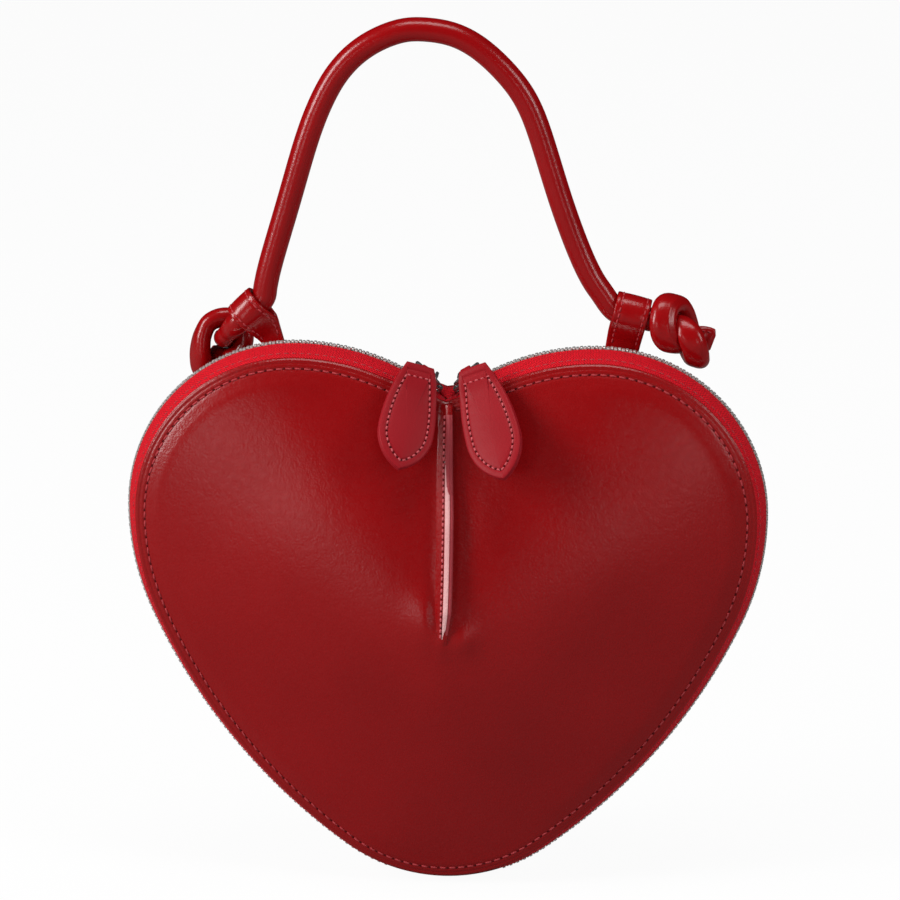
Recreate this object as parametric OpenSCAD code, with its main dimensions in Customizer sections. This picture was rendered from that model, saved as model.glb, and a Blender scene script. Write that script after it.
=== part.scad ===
// Heart-shaped leather handbag with a zip round the edge and a short knotted top handle.
// X to the wearer's right in the front view, front faces -Y, Z up.
// The origin is the underside of the handle, straight above the middle of the bag.

/* [Body] */
// Width of the bag over its two lobes, along the zip.
body_w = 212; // [190:1:235]
// Radius of the outer curve of each lobe.
lobe_r = 56; // [50:1:60]
// Slope of the zip line where the two lobes meet in the notch, in degrees.
notch_slope = 41; // [34:1:45]
// Radius of the flank below each lobe.
flank_r = 90; // [80:1:100]
// Radius of the long side that runs down to the tip.
side_r = 200; // [180:5:240]
// Distance from the teeth to the edge of a panel, half the thickness of the bag at its rim.
rim_y = 11; // [9:0.5:14]
// How far a panel bulges out of its rim.
bulge = 21; // [14:0.5:26]
// Height of the bulge's point above the tip of the bag.
apex_z = 89; // [80:1:98]
// How far the edge of a panel lies inside the zip line.
panel_inset = 2.5; // [1.5:0.1:3.5]
// How far the panels' own notch stands above the notch of the zip line.
notch_fill = 2.3; // [1:0.1:3.5]

/* [Leather] */
// Thickness of the panel leather.
panel_t = 1.4; // [1:0.1:1.8]
// Thickness of the lining cloth with its backing.
lining_t = 0.6; // [0.4:0.1:0.8]
// Gap between lining and panel.
lining_gap = 0.2; // [0.1:0.05:0.4]
// Height of the dart's fin over the panel.
dart_h = 4.6; // [3:0.2:5.4]
// Thickness of the dart's fin, two layers sewn together.
dart_t = 2.6; // [2:0.1:3]
// Lean of the fin to the right, in degrees.
dart_lean = 19; // [10:1:30]

/* [Zip] */
// Thickness of the zip tape and of the leather strip at the tip.
tape_t = 0.9; // [0.7:0.1:1.1]
// Outward crown of the tape between teeth and panel.
tape_crown = 0.9; // [0.4:0.1:1.4]
// Distance from one tooth to the next on the same tape.
tooth_pitch = 2.5; // [2.3:0.1:2.8]
// Gap between a tooth and its neighbour on the other tape.
tooth_gap = 0.2; // [0.15:0.05:0.3]
// Thickness of the teeth.
tooth_h = 2; // [1.8:0.1:2.2]
// How far a tooth reaches over the middle of the zip.
tooth_reach = 0.9; // [0.7:0.1:1.1]
// Length of the leather strip that closes the tip, along the zip line.
base_len = 38; // [30:1:46]

/* [Sliders] */
// Length of a slider.
slider_l = 8.6; // [8:0.1:9]
// Width of a slider.
slider_w = 8.4; // [8:0.1:9]
// Thickness of a slider's plates.
slider_t = 1; // [0.8:0.1:1.1]
// Distance from the notch to the nose of a slider.
slider_nose = 3.8; // [3.5:0.1:4.2]
// Height of the free hole under a slider's bridge.
bridge_h = 2; // [1.9:0.1:2.2]
// Diameter of a pull ring, to the middle of its wire.
ring_d = 9.8; // [9.4:0.1:10.2]
// Thickness of the ring wire.
wire_d = 1.3; // [1.2:0.1:1.4]
// Length of a leather pull tag below its fold.
tag_l = 37; // [32:1:40]
// Widest part of a tag.
tag_w = 18.8; // [17:0.2:21]
// Width of a tag at its top.
tag_top_w = 9.4; // [8:0.1:10]
// Thickness of a tag, two layers sewn together.
tag_t = 2.4; // [2:0.1:2.8]
// Lean of a resting tag away from upright, in degrees.
tag_lean = 40; // [36:1:60]

/* [Handle] */
// Thickness of the rolled handle strap.
strap_d = 8; // [7.5:0.1:8.5]
// Thickness of the strap inside its knots.
knot_strap_d = 6; // [5.6:0.1:6.4]
// Rise from the tops of the lobes to the underside of the handle.
handle_drop = 100; // [85:1:115]
// Distance of the handle behind the teeth.
handle_back = 7; // [6:0.5:8]
// Width of the loops that hold the strap.
loop_w = 10; // [9:0.5:11]
// Thickness of the loop leather.
loop_t = 1.6; // [1.2:0.1:1.8]

/* [Fits] */
// Gap between parts that move against each other.
move_gap = 0.35; // [0.3:0.05:0.4]
// Gap between parts sewn or glued to each other.
sewn_gap = 0.05; // [0.02:0.01:0.1]

/* [Hidden] */
$fn = 48;
half_w = body_w / 2;
lobe_x = half_w - lobe_r;
notch_r = lobe_x / sin(notch_slope);
// Radius and turn in degrees of each arc of the zip line, from the notch outwards; the last one closes it.
flank_turn = 24;
side_turn = 30;
tip_turn = 180 - 90 - flank_turn - side_turn;
open_arcs = [
    [notch_r, notch_slope],
    [lobe_r, 90],
    [flank_r, flank_turn],
    [side_r, side_turn]
];
open_end = arcs_end(open_arcs, 0, [0, 0], notch_slope);
tip_r = open_end[0] / sin(tip_turn);
arcs = concat(open_arcs, [[tip_r, tip_turn]]);
tip_drop = tip_r * (1 - cos(tip_turn));
notch_z = tip_drop - open_end[1];
lobe_z = notch_z + notch_r * (1 - cos(notch_slope));
body_h = lobe_z;
half_len = arcs_length(arcs, 0);
zip_len = half_len - base_len / 2;
body_z = -(body_h + handle_drop);
body_y = -handle_back;

function unit(v) = v / norm(v);
function arc_len(a) = a[0] * a[1] * PI / 180;
function arcs_length(list, k) = k >= len(list) ? 0 : arc_len(list[k]) + arcs_length(list, k + 1);
// End of an arc that turns right from point p and heading h.
function arc_to(p, h, r, turn) = p + r * [sin(h) - sin(h - turn), cos(h - turn) - cos(h)];
function arcs_end(list, k, p, h) =
    k >= len(list) ? p : arcs_end(list, k + 1, arc_to(p, h, list[k][0], list[k][1]), h - list[k][1]);
// Point of the zip line at distance s from the notch, and its heading.
function line_from(s, k, p, h) =
    (s <= arc_len(arcs[k]) || k == len(arcs) - 1)
    ? let (turn = s / arcs[k][0] * 180 / PI, q = arc_to(p, h, arcs[k][0], turn)) [q[0], q[1], h - turn]
    : line_from(s - arc_len(arcs[k]), k + 1, arc_to(p, h, arcs[k][0], arcs[k][1]), h - arcs[k][1]);
function zip_line(s) = line_from(s, 0, [0, notch_z], notch_slope);
function outward(q) = [-sin(q), cos(q)];
// Zip line moved out by d.
function zip_point(s, d) = let (p = zip_line(s)) [p[0], p[1]] + d * outward(p[2]);
// Edge of a panel: inside the zip line, with a shallower notch of its own.
fill_share = 0.2;
fill_len = fill_share * half_w;
notch_edge = [0, notch_z + notch_fill];
notch_side = zip_point(fill_len, -panel_inset) - notch_edge;
function panel_edge(s) =
    s >= fill_len ? zip_point(s, -panel_inset)
    : notch_edge + s / fill_len * notch_side;

// Stations along one half of the zip line: the zip itself, then the leather strip at the tip.
zip_steps = 32;
base_steps = 3;
half_stations = concat(
    [for (i = [0:zip_steps]) zip_len * i / zip_steps],
    [for (i = [1:base_steps]) zip_len + (half_len - zip_len) * i / base_steps]);
n_half = len(half_stations);
// Signed stations round the whole rim, clockwise from the notch.
rim = concat(half_stations, [for (i = [n_half - 2:-1:1]) -half_stations[i]]);
function mirrored(s, p) = s < 0 ? [-p[0], p[1]] : p;
rim_points = [for (s = rim) mirrored(s, panel_edge(abs(s)))];
apex = [0, apex_z];
bulge_power = 1.4;
flange_share = 0.93;
ring_shares = [0.16, 0.34, 0.52, 0.68, 0.82, flange_share, 1];
lining_shares = [0.16, 0.34, 0.52, 0.68, 0.82, flange_share];
function bulge_at(share) = bulge * (1 - pow(share, bulge_power));
// Height of the panel's facets, and its share at a point near the middle of the bag.
facet_heights = [for (share = concat([0], ring_shares)) [share, bulge_at(share)]];
function share_at(x, z) =
    1 + ((z - notch_edge[1]) * notch_side[0] - abs(x) * notch_side[1]) / ((notch_edge[1] - apex_z) * notch_side[0]);

// Closed shell over the rim: side is -1 in front and 1 behind; in is its distance inside the panel's face.
module rim_shell(side, shares, in, thick) {
    n = len(rim_points);
    k = len(shares);
    layer = [for (d = [in, in + thick], share = shares, p = rim_points)
        let (q = apex + share * (p - apex))
        [q[0], side * (rim_y + bulge_at(share) - d), q[1]]];
    tops = [for (d = [in, in + thick]) [apex[0], side * (rim_y + bulge - d), apex[1]]];
    points = concat(layer, tops);
    top0 = len(layer);
    half = n * k;
    outer = concat(
        [for (i = [0:n - 1]) [top0, (i + 1) % n, i]],
        [for (j = [0:k - 2], i = [0:n - 1])
            let (a = j * n + i, b = j * n + (i + 1) % n) each [[a, b, b + n], [a, b + n, a + n]]]);
    inner = concat(
        [for (i = [0:n - 1]) [top0 + 1, half + i, half + (i + 1) % n]],
        [for (j = [0:k - 2], i = [0:n - 1])
            let (a = half + j * n + i, b = half + j * n + (i + 1) % n)
            each [[a, b + n, b], [a, a + n, b + n]]]);
    edge = [for (i = [0:n - 1])
        let (a = (k - 1) * n + i, b = (k - 1) * n + (i + 1) % n)
        each [[a, b, b + half], [a, b + half, a + half]]];
    faces = concat(outer, inner, edge);
    polyhedron(points, side > 0 ? faces : [for (f = faces) [f[2], f[1], f[0]]]);
}

// Closed sweep: all rings hold one even number of points; an end is capped between its point and its last, and so on.
module sweep(rings) {
    n = len(rings);
    k = len(rings[0]);
    points = [for (r = rings, p = r) p];
    sides = [for (i = [0:n - 2], j = [0:k - 1])
        let (a = i * k + j, b = i * k + (j + 1) % k) each [[a, b + k, b], [a, a + k, b + k]]];
    last = (n - 1) * k;
    caps = [for (j = [0:k / 2 - 2]) let (a = j, b = j + 1, c = k - 2 - j, d = k - 1 - j)
        each [[a, b, c], [a, c, d], [last + a, last + c, last + b], [last + a, last + d, last + c]]];
    polyhedron(points, concat(sides, caps));
}

// Point on the inner face of a panel's rim, share of the way out from the apex, and d inside it.
function under_rim(s, share, side, d) =
    let (q = apex + share * (mirrored(s, panel_edge(abs(s))) - apex))
    [q[0], side * (rim_y + bulge_at(share) - panel_t - d), q[1]];
// Point between the panel's edge (w = 0) and the zip line (w = 1), lifted outwards.
function band_point(s, w, lift, y) =
    let (a = panel_edge(abs(s)), b = zip_point(abs(s), 0), q = a + w * (b - a)
        + lift * outward(zip_line(abs(s))[2]), m = mirrored(s, q))
    [m[0], y, m[1]];
rim_in = rim_y - panel_t - sewn_gap;
tape_edge_y = 1.6;
band_shape_share = 0.75;
hem_t = 1.4 * tape_t;
// Half of the band's section, from its sewing flange to the given inner edge; outer face then inner face.
function band_outer(s, side, y_in) = [
    under_rim(s, flange_share, side, sewn_gap),
    band_point(s, 0, -sewn_gap, side * rim_in),
    band_point(s, band_shape_share, tape_crown, side * (rim_in + y_in) / 2),
    band_point(s, 1, tape_t / 2, side * y_in)];
function band_inner(s, side, y_in) = [
    band_point(s, 1, -tape_t / 2, side * y_in),
    band_point(s, band_shape_share, tape_crown - tape_t, side * (rim_in + y_in) / 2),
    band_point(s, 0, -sewn_gap - hem_t, side * (rim_in - tape_t)),
    under_rim(s, flange_share, side, sewn_gap + tape_t)];
module zip_tape(side) {
    stations = concat(
        [for (i = [zip_steps:-1:1]) -zip_len * i / zip_steps],
        [for (i = [0:zip_steps]) zip_len * i / zip_steps]);
    sweep([for (s = stations)
        let (ring = concat(band_outer(s, side, tape_edge_y), band_inner(s, side, tape_edge_y)))
        side < 0 ? [for (i = [len(ring) - 1:-1:0]) ring[i]] : ring]);
}
module base_strip() {
    steps = concat(
        [for (i = [0:base_steps]) zip_len + (half_len - zip_len) * i / base_steps],
        [for (i = [base_steps - 1:-1:0]) -(zip_len + (half_len - zip_len) * i / base_steps)]);
    sweep([for (s = steps)
        let (front = band_outer(s, -1, tape_edge_y), back = band_outer(s, 1, tape_edge_y),
            front_in = band_inner(s, -1, tape_edge_y), back_in = band_inner(s, 1, tape_edge_y),
            ring = concat(front, [back[3], back[2], back[1], back[0]],
                [back_in[3], back_in[2], back_in[1], back_in[0]], front_in))
        [for (i = [len(ring) - 1:-1:0]) ring[i]]]);
}

tooth_w = tooth_pitch / 2 - tooth_gap;
tooth_back = tape_edge_y - sewn_gap;
module tooth_row(side) {
    count = floor((zip_len - tooth_pitch / 2) / tooth_pitch);
    for (i = [-count:count]) {
        s = (i + (side < 0 ? 0 : 0.5)) * tooth_pitch;
        if (clear_of_noses(s) && abs(s) + tooth_w / 2 + tooth_gap < zip_len) {
            p = zip_line(abs(s));
            side_x = s < 0 ? -1 : 1;
            translate([side_x * p[0], 0, p[1]])
                rotate([0, -side_x * p[2], 0])
                    translate([-tooth_w / 2, side < 0 ? -tooth_back : -tooth_reach, -tooth_h / 2])
                        cube([tooth_w, tooth_back + tooth_reach, tooth_h]);
        }
    }
}

// Slider, in its own frame: X along the zip away from the notch, Y across it, Z outwards.
slider_s = slider_nose + slider_l / 2;
plate_in = tooth_h / 2 + move_gap;
plate_out = plate_in + slider_t;
post_r = 1;
post_x = -slider_l / 2 + post_r;
rail_w = 0.5;
rail_h = 0.5;
bridge_x = 0;
bridge_in = 3.3;
bridge_t = 0.8;
bridge_w = 1;
// Clear of the post that parts the teeth.
function clear_of_noses(s) = abs(s) > slider_nose + 2 * post_r + tooth_w;
module at_slider(side_x) {
    p = zip_line(slider_s);
    mirror([side_x < 0 ? 1 : 0, 0, 0])
        translate([p[0], 0, p[1]])
            rotate([0, -p[2], 0])
                children();
}
nose_w_share = 0.5;
shoulder_share = 0.2;
module plate() {
    l = slider_l / 2;
    w = slider_w / 2;
    linear_extrude(slider_t)
        polygon([[-l, -w * nose_w_share], [-l * shoulder_share, -w], [l, -w],
            [l, w], [-l * shoulder_share, w], [-l, w * nose_w_share]]);
}
module slider_body() {
    rail_l = slider_l / 2 * (1 + shoulder_share);
    translate([0, 0, plate_in])
        plate();
    translate([0, 0, -plate_out])
        plate();
    translate([post_x, 0, -plate_out])
        cylinder(r = post_r, h = 2 * plate_out);
    for (y = [-slider_w / 2, slider_w / 2 - rail_w]) {
        translate([-slider_l / 2 * shoulder_share, y, plate_in - rail_h])
            cube([rail_l, rail_w, slider_t + rail_h]);
        translate([-slider_l / 2 * shoulder_share, y, -plate_out])
            cube([rail_l, rail_w, slider_t + rail_h]);
    }
    for (y = [-bridge_in - bridge_t, bridge_in])
        translate([bridge_x - bridge_w / 2, y, plate_in])
            cube([bridge_w, bridge_t, slider_t + bridge_h + bridge_t]);
    translate([bridge_x - bridge_w / 2, -bridge_in - bridge_t, plate_out + bridge_h])
        cube([bridge_w, 2 * (bridge_in + bridge_t), bridge_t]);
}

// Pull ring, hung in the bridge: swung round towards the flank and tipped up over the panel's edge.
ring_r = ring_d / 2;
ring_swing = 42;
ring_tip = 14;
ring_y = -1.1;
module at_ring() {
    translate([bridge_x, ring_y, plate_out + move_gap + wire_d / 2])
        rotate([0, 0, ring_swing])
            rotate([-ring_tip, 0, 0])
                translate([0, -ring_r, 0])
                    children();
}
module ring() {
    rotate_extrude($fn = 36)
        translate([ring_r, 0])
            circle(r = wire_d / 2, $fn = 16);
}

// Pull tag: a folded leaf of leather; its fold runs round the front of the ring.
fold_slope = 31;
fold_bore = 1.9;
fold_wall = 0.8;
fold_turn = 18;
fold_w = 3.6;
leaf_skew = 14;
leaf_out = 2;
neck_l = 3;
wide_share = 0.6;
// Front point of the resting ring, in the frame of the bag, right-hand side.
function turn_x(v, a) = [v[0], v[1] * cos(a) - v[2] * sin(a), v[1] * sin(a) + v[2] * cos(a)];
function turn_y(v, a) = [v[0] * cos(a) + v[2] * sin(a), v[1], v[2] * cos(a) - v[0] * sin(a)];
function turn_z(v, a) = [v[0] * cos(a) - v[1] * sin(a), v[0] * sin(a) + v[1] * cos(a), v[2]];
function slider_to_bag(v) = let (p = zip_line(slider_s)) [p[0], 0, p[1]] + turn_y(v, -p[2]);
function ring_to_slider(v) =
    [bridge_x, ring_y, plate_out + move_gap + wire_d / 2]
    + turn_z(turn_x(v - [0, ring_r, 0], -ring_tip), ring_swing);
fold_at = slider_to_bag(ring_to_slider(
    [ring_r * sin(fold_turn - ring_swing), -ring_r * cos(fold_turn - ring_swing), 0]));
module at_fold(side_x) {
    mirror([side_x < 0 ? 1 : 0, 0, 0])
        translate(fold_at)
            rotate([0, -fold_slope, 0])
                rotate([-tag_lean, 0, 0])
                    children();
}
// One end of the leaf: half-width tag_w / 2 at its base, end_w / 2 at a length l along +Z.
module leaf_end(l, end_w) {
    drop = (tag_w - end_w) / 2;
    r = (drop * drop + l * l) / (2 * drop);
    intersection() {
        translate([tag_w / 2 - r, 0, 0])
            rotate([90, 0, 0])
                cylinder(r = r, h = tag_t, center = true);
        translate([r - tag_w / 2, 0, 0])
            rotate([90, 0, 0])
                cylinder(r = r, h = tag_t, center = true);
        translate([-tag_w, -tag_t, 0])
            cube([2 * tag_w, 2 * tag_t, l]);
    }
}
module tag_body() {
    leaf_top = neck_l - fold_wall;
    upper = (tag_l - leaf_top) * wide_share;
    lower = (tag_l - leaf_top) * (1 - wide_share);
    difference() {
        union() {
            rotate([0, 90, 0])
                cylinder(r = fold_bore + fold_wall, h = fold_w, center = true);
            translate([-fold_w / 2, -tag_t / 2, -neck_l])
                cube([fold_w, tag_t, neck_l]);
            rotate([0, leaf_skew, 0])
                translate([leaf_out, 0, -leaf_top - upper]) {
                    leaf_end(upper, tag_top_w);
                    mirror([0, 0, 1])
                        leaf_end(lower, 0);
                }
        }
        rotate([0, 90, 0])
            cylinder(r = fold_bore, h = 2 * tag_w, center = true);
    }
}

// Loops: a band round the strap whose two legs run together to a foot on the zip tape.
loop_out = strap_d / 2 + move_gap + loop_t;
loop_in = strap_d / 2 + move_gap;
foot_r = 1.3;
foot_drop = 8.6;
heel_share = 0.75;
heel_r_share = 0.5;
foot_rise = 2;
left_foot_rise = 3.1;
foot_z = lobe_z + foot_rise;
loop_splay = asin((loop_out - foot_r) / foot_drop);
// How far beyond the top of its lobe each foot stands.
left_foot_out = 10.4;
right_foot_out = 8.8;
left_loop_lean = 45;
right_loop_lean = 14;
function loop_at(x, z, lean) = [x + foot_drop * sin(lean), handle_back, z + foot_drop * cos(lean)];
left_loop_at = loop_at(-lobe_x - left_foot_out, lobe_z + left_foot_rise, -left_loop_lean);
right_loop_at = loop_at(lobe_x + right_foot_out, foot_z, right_loop_lean);
// Section of a loop in Y and Z, round the strap's middle.
module loop_blank(r, foot) {
    c = cos(loop_splay);
    s = sin(loop_splay);
    rotate([90, 0, 90]) {
        cylinder(r = r, h = loop_w, center = true);
        linear_extrude(loop_w, center = true)
            polygon(concat([[r * c, -r * s]], foot, [[-r * c, -r * s]]));
    }
}
// Foot of a loop: the end of its legs, carried down to the tape under the corner that the lean lifts.
module loop_foot(lean) {
    lift = loop_w * sin(abs(lean)) * heel_share;
    hull() {
        translate([0, 0, -foot_drop])
            rotate([0, 90, 0])
                cylinder(r = foot_r, h = loop_w, center = true);
        translate([-sign(lean) * (loop_w / 2 - foot_r) + lift * sin(lean), 0, -foot_drop - lift * cos(lean)])
            rotate([90, 0, 0])
                cylinder(r = foot_r * heel_r_share, h = foot_r, center = true);
    }
}
module loop(at, lean) {
    c = cos(loop_splay);
    s = sin(loop_splay);
    translate(at)
        rotate([0, lean, 0])
            difference() {
                union() {
                    loop_blank(loop_out,
                        [[foot_r * c, -foot_drop - foot_r * s], [-foot_r * c, -foot_drop - foot_r * s]]);
                    loop_foot(lean);
                }
                scale([2, 1, 1])
                    loop_blank(loop_in, [[0, -loop_in / s]]);
            }
}

// Strap: one unbroken tube through both knots and both loops.
// Turning points of half an overhand knot, from its middle to its entry, as shares of the strap's width.
knot_shares = [
    [0, 0, 1.1], [0.32, 0.47, 1.04], [0.72, 0.93, 0.8], [1.05, 1.1, 0.3], [1.2, 1, -0.25],
    [1.1, 0.55, -0.75], [0.8, 0, -0.93], [0.38, -0.4, -0.8], [-0.05, -0.54, -0.4],
    [-0.5, -0.3, 0], [-1, -0.04, 0.15], [-1.7, 0, 0.13]];
knot_gap = 0.6;
knot_unit = knot_strap_d + knot_gap;
last_knot = len(knot_shares) - 1;
knot_entry = [for (i = [last_knot:-1:0]) knot_shares[i]];
knot_exit = [for (i = [1:last_knot]) [-knot_shares[i][0], -knot_shares[i][1], knot_shares[i][2]]];
knot_local = concat(knot_entry, knot_exit);
// Arch of the handle: X as a share of the way from the left loop to the right one, Z as a share of the
// handle's rise over the lobes.
arch_shares = [
    [0.041, 0.182], [0.055, 0.264], [0.103, 0.472], [0.148, 0.68], [0.19, 0.818], [0.237, 0.92], [0.304,
    0.998], [0.385, 1.045], [0.446, 1.052], [0.522, 1.04], [0.592, 0.996], [0.662, 0.915], [0.72,
    0.818], [0.761, 0.68], [0.811, 0.472], [0.874, 0.264], [0.916, 0.18]];
// How far beyond the top of its lobe, behind the teeth and above the lobes each knot's middle lies.
left_knot_out = 28.6;
left_knot_y = 19.5;
left_knot_rise = -6;
right_knot_out = 28.2;
right_knot_rise = 4.2;
left_knot_at = [-lobe_x - left_knot_out, left_knot_y, body_h + left_knot_rise];
right_knot_at = [lobe_x + right_knot_out, handle_back, body_h + right_knot_rise];
left_knot_roll = 280;
right_knot_roll = 285;
// Axes of a knot whose strap enters along the given direction, rolled about it.
function knot_axes(dir, roll) =
    let (x = unit(dir), y0 = unit(cross([0, 0, 1], x)), z0 = cross(x, y0))
    [x, y0 * cos(roll) + z0 * sin(roll), z0 * cos(roll) - y0 * sin(roll)];
function place(axes, at, p) = at + (axes[0] * p[0] + axes[1] * p[1] + axes[2] * p[2]) * knot_unit;
left_loop_dir = [-cos(left_loop_lean), 0, -sin(left_loop_lean)];
right_loop_dir = [cos(right_loop_lean), 0, -sin(right_loop_lean)];
run_share = 0.6;
loop_run = run_share * loop_w;
left_axes = knot_axes(left_knot_at - left_loop_at - left_loop_dir * loop_run, left_knot_roll);
right_axes = knot_axes(right_knot_at - right_loop_at - right_loop_dir * loop_run, right_knot_roll);
left_knot = [for (p = knot_local) place(left_axes, left_knot_at, p)];
right_knot = [for (p = knot_local) place(right_axes, right_knot_at, p)];
arch = [for (a = arch_shares)
    [left_loop_at[0] + a[0] * (right_loop_at[0] - left_loop_at[0]), handle_back, body_h + a[1] * handle_drop]];
turning = concat(
    [for (i = [len(left_knot) - 1:-1:0]) [left_knot[i], knot_strap_d / 2]],
    [for (k = [1, 0, -1]) [left_loop_at + left_loop_dir * loop_run * k, strap_d / 2]],
    [for (p = arch) [p, strap_d / 2]],
    [for (k = [-1, 0, 1]) [right_loop_at + right_loop_dir * loop_run * k, strap_d / 2]],
    [for (p = right_knot) [p, knot_strap_d / 2]]);
strap_steps = 3;
n_turn = len(turning);
function spline(a, b, c, d, t) =
    0.5 * (2 * b + (c - a) * t + (2 * a - 5 * b + 4 * c - d) * t * t + (3 * b - a - 3 * c + d) * t * t * t);
function turn_point(i) = turning[max(0, min(n_turn - 1, i))];
strap_path = concat(
    [for (i = [0:n_turn - 2], k = [0:strap_steps - 1])
        let (t = k / strap_steps, a = turn_point(i - 1), b = turn_point(i), c = turn_point(i + 1),
            d = turn_point(i + 2))
        [spline(a[0], b[0], c[0], d[0], t), b[1] + (c[1] - b[1]) * t]],
    [turning[n_turn - 1]]);
n_path = len(strap_path);
strap_dirs = [for (i = [0:n_path - 1])
    unit(strap_path[min(n_path - 1, i + 1)][0] - strap_path[max(0, i - 1)][0])];
// A side direction carried along the strap without twisting it.
function level(u, d) = unit(u - (u * d) * d);
strap_sides = [for (i = 0, u = level([0, 1, 0], strap_dirs[0]); i < n_path;
    i = i + 1, u = i < n_path ? level(u, strap_dirs[i]) : u) u];
strap_faces = 10;
module strap() {
    sweep([for (i = [0:n_path - 1])
        let (u = strap_sides[i], v = cross(strap_dirs[i], u), r = strap_path[i][1])
        [for (k = [0:strap_faces - 1])
            let (a = 360 * k / strap_faces) strap_path[i][0] + r * (cos(a) * u + sin(a) * v)]]);
}
// Least gap between two turns of the strap, measured between points more than two of its widths apart along it.
along = [for (i = 0, d = 0; i < n_path;
    i = i + 1, d = d + (i < n_path ? norm(strap_path[i][0] - strap_path[i - 1][0]) : 0)) d];
strap_gap = min([for (i = [0:n_path - 1], j = [i:n_path - 1])
    if (along[j] - along[i] > 2 * strap_d)
        norm(strap_path[i][0] - strap_path[j][0]) - strap_path[i][1] - strap_path[j][1]]);
echo(strap_gap = strap_gap);

// Dart: the panel's two cut edges, sewn together and turned out as a fin from the notch to the apex.
dart_shares = [1, 0.82, 0.68, 0.52, 0.34, 0.16, 0.06];
dart_taper = [0.5, 0.65, 0.8, 1, 1, 0.9, 0.25];
module dart(side) {
    foot = panel_edge(0);
    sweep([for (i = [0:len(dart_shares) - 1])
        let (share = dart_shares[i],
            q = apex + share * (foot - apex),
            y = rim_y + lookup(share_at(dart_t / 2, q[1]), facet_heights) + sewn_gap,
            rise = dart_h * dart_taper[i],
            lean = rise * tan(dart_lean),
            ring = [[-dart_t / 2, y], [dart_t / 2, y], [dart_t / 2 + lean, y + rise], [-dart_t / 2 + lean, y + rise]])
        [for (k = side < 0 ? [0, 1, 2, 3] : [3, 2, 1, 0]) [q[0] + ring[k][0], side * ring[k][1], q[1]]]]);
}

module in_bag() {
    translate([0, body_y, body_z])
        children();
}
module handle_strap() {
    color("#8c1418")
        in_bag()
            strap();
}
module loop_left() {
    color("#8c1418")
        in_bag()
            loop(left_loop_at, -left_loop_lean);
}
module loop_right() {
    color("#8c1418")
        in_bag()
            loop(right_loop_at, right_loop_lean);
}
module front_panel() {
    color("#8c1418")
        in_bag()
            rim_shell(-1, ring_shares, 0, panel_t);
}
module front_dart() {
    color("#8c1418")
        in_bag()
            dart(-1);
}
module front_lining() {
    color("#5a1216")
        in_bag()
            rim_shell(-1, lining_shares, panel_t + lining_gap, lining_t);
}
module front_tape() {
    color("#d61420")
        in_bag()
            zip_tape(-1);
}
module front_teeth() {
    color("#c8c8cc")
        in_bag()
            tooth_row(-1);
}
module back_panel() {
    color("#8c1418")
        in_bag()
            rim_shell(1, ring_shares, 0, panel_t);
}
module back_dart() {
    color("#8c1418")
        in_bag()
            dart(1);
}
module back_lining() {
    color("#5a1216")
        in_bag()
            rim_shell(1, lining_shares, panel_t + lining_gap, lining_t);
}
module back_tape() {
    color("#d61420")
        in_bag()
            zip_tape(1);
}
module back_teeth() {
    color("#c8c8cc")
        in_bag()
            tooth_row(1);
}
module base_gusset() {
    color("#7c1216")
        in_bag()
            base_strip();
}
module slider_left() {
    color("#5c5c60")
        in_bag()
            at_slider(-1)
                slider_body();
}
module slider_right() {
    color("#5c5c60")
        in_bag()
            at_slider(1)
                slider_body();
}
module ring_left() {
    color("#5c5c60")
        in_bag()
            at_slider(-1)
                at_ring()
                    ring();
}
module ring_right() {
    color("#5c5c60")
        in_bag()
            at_slider(1)
                at_ring()
                    ring();
}
module tag_left() {
    color("#a3212a")
        in_bag()
            at_fold(-1)
                tag_body();
}
module tag_right() {
    color("#a3212a")
        in_bag()
            at_fold(1)
                tag_body();
}

handle_strap();
loop_left();
loop_right();
front_panel();
front_dart();
front_lining();
front_tape();
front_teeth();
back_panel();
back_dart();
back_lining();
back_tape();
back_teeth();
base_gusset();
slider_left();
slider_right();
ring_left();
ring_right();
tag_left();
tag_right();
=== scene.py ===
import math
import bpy
import numpy as np
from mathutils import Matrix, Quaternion, Vector


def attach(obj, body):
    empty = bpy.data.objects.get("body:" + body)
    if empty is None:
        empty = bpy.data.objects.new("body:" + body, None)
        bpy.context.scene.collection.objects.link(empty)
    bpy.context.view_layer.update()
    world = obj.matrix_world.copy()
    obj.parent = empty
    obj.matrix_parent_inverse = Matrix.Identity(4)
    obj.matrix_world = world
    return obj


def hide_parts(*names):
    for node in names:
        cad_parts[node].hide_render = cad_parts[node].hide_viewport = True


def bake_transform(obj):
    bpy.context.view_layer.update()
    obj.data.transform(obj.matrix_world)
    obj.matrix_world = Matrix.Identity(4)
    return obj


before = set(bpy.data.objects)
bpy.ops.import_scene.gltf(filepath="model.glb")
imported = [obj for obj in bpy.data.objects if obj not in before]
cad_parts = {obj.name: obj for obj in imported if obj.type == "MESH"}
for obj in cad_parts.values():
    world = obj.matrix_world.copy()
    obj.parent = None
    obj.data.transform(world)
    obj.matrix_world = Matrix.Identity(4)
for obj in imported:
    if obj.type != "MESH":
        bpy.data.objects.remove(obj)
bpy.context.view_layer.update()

# body, in mm and degrees, as in the solids
HALF_W = 106.0  # half the width over the two lobes, along the zip
LOBE_R = 56.0  # outer curve of each lobe
NOTCH_SLOPE = 41.0  # slope of the zip line at the notch
FLANK_R = 90.0  # flank below each lobe
FLANK_TURN = 24.0
SIDE_R = 200.0  # long side that runs down to the tip
SIDE_TURN = 30.0
TIP_TURN = 90.0 - FLANK_TURN - SIDE_TURN
RIM_Y = 11.0  # half the thickness of the bag at its rim
BULGE = 21.0  # how far a panel bulges out of its rim
BULGE_POWER = 1.4
APEX_Z = 89.0  # height of the bulge's point above the tip
INSET = 2.5  # from the zip line in to the edge of a panel
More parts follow.
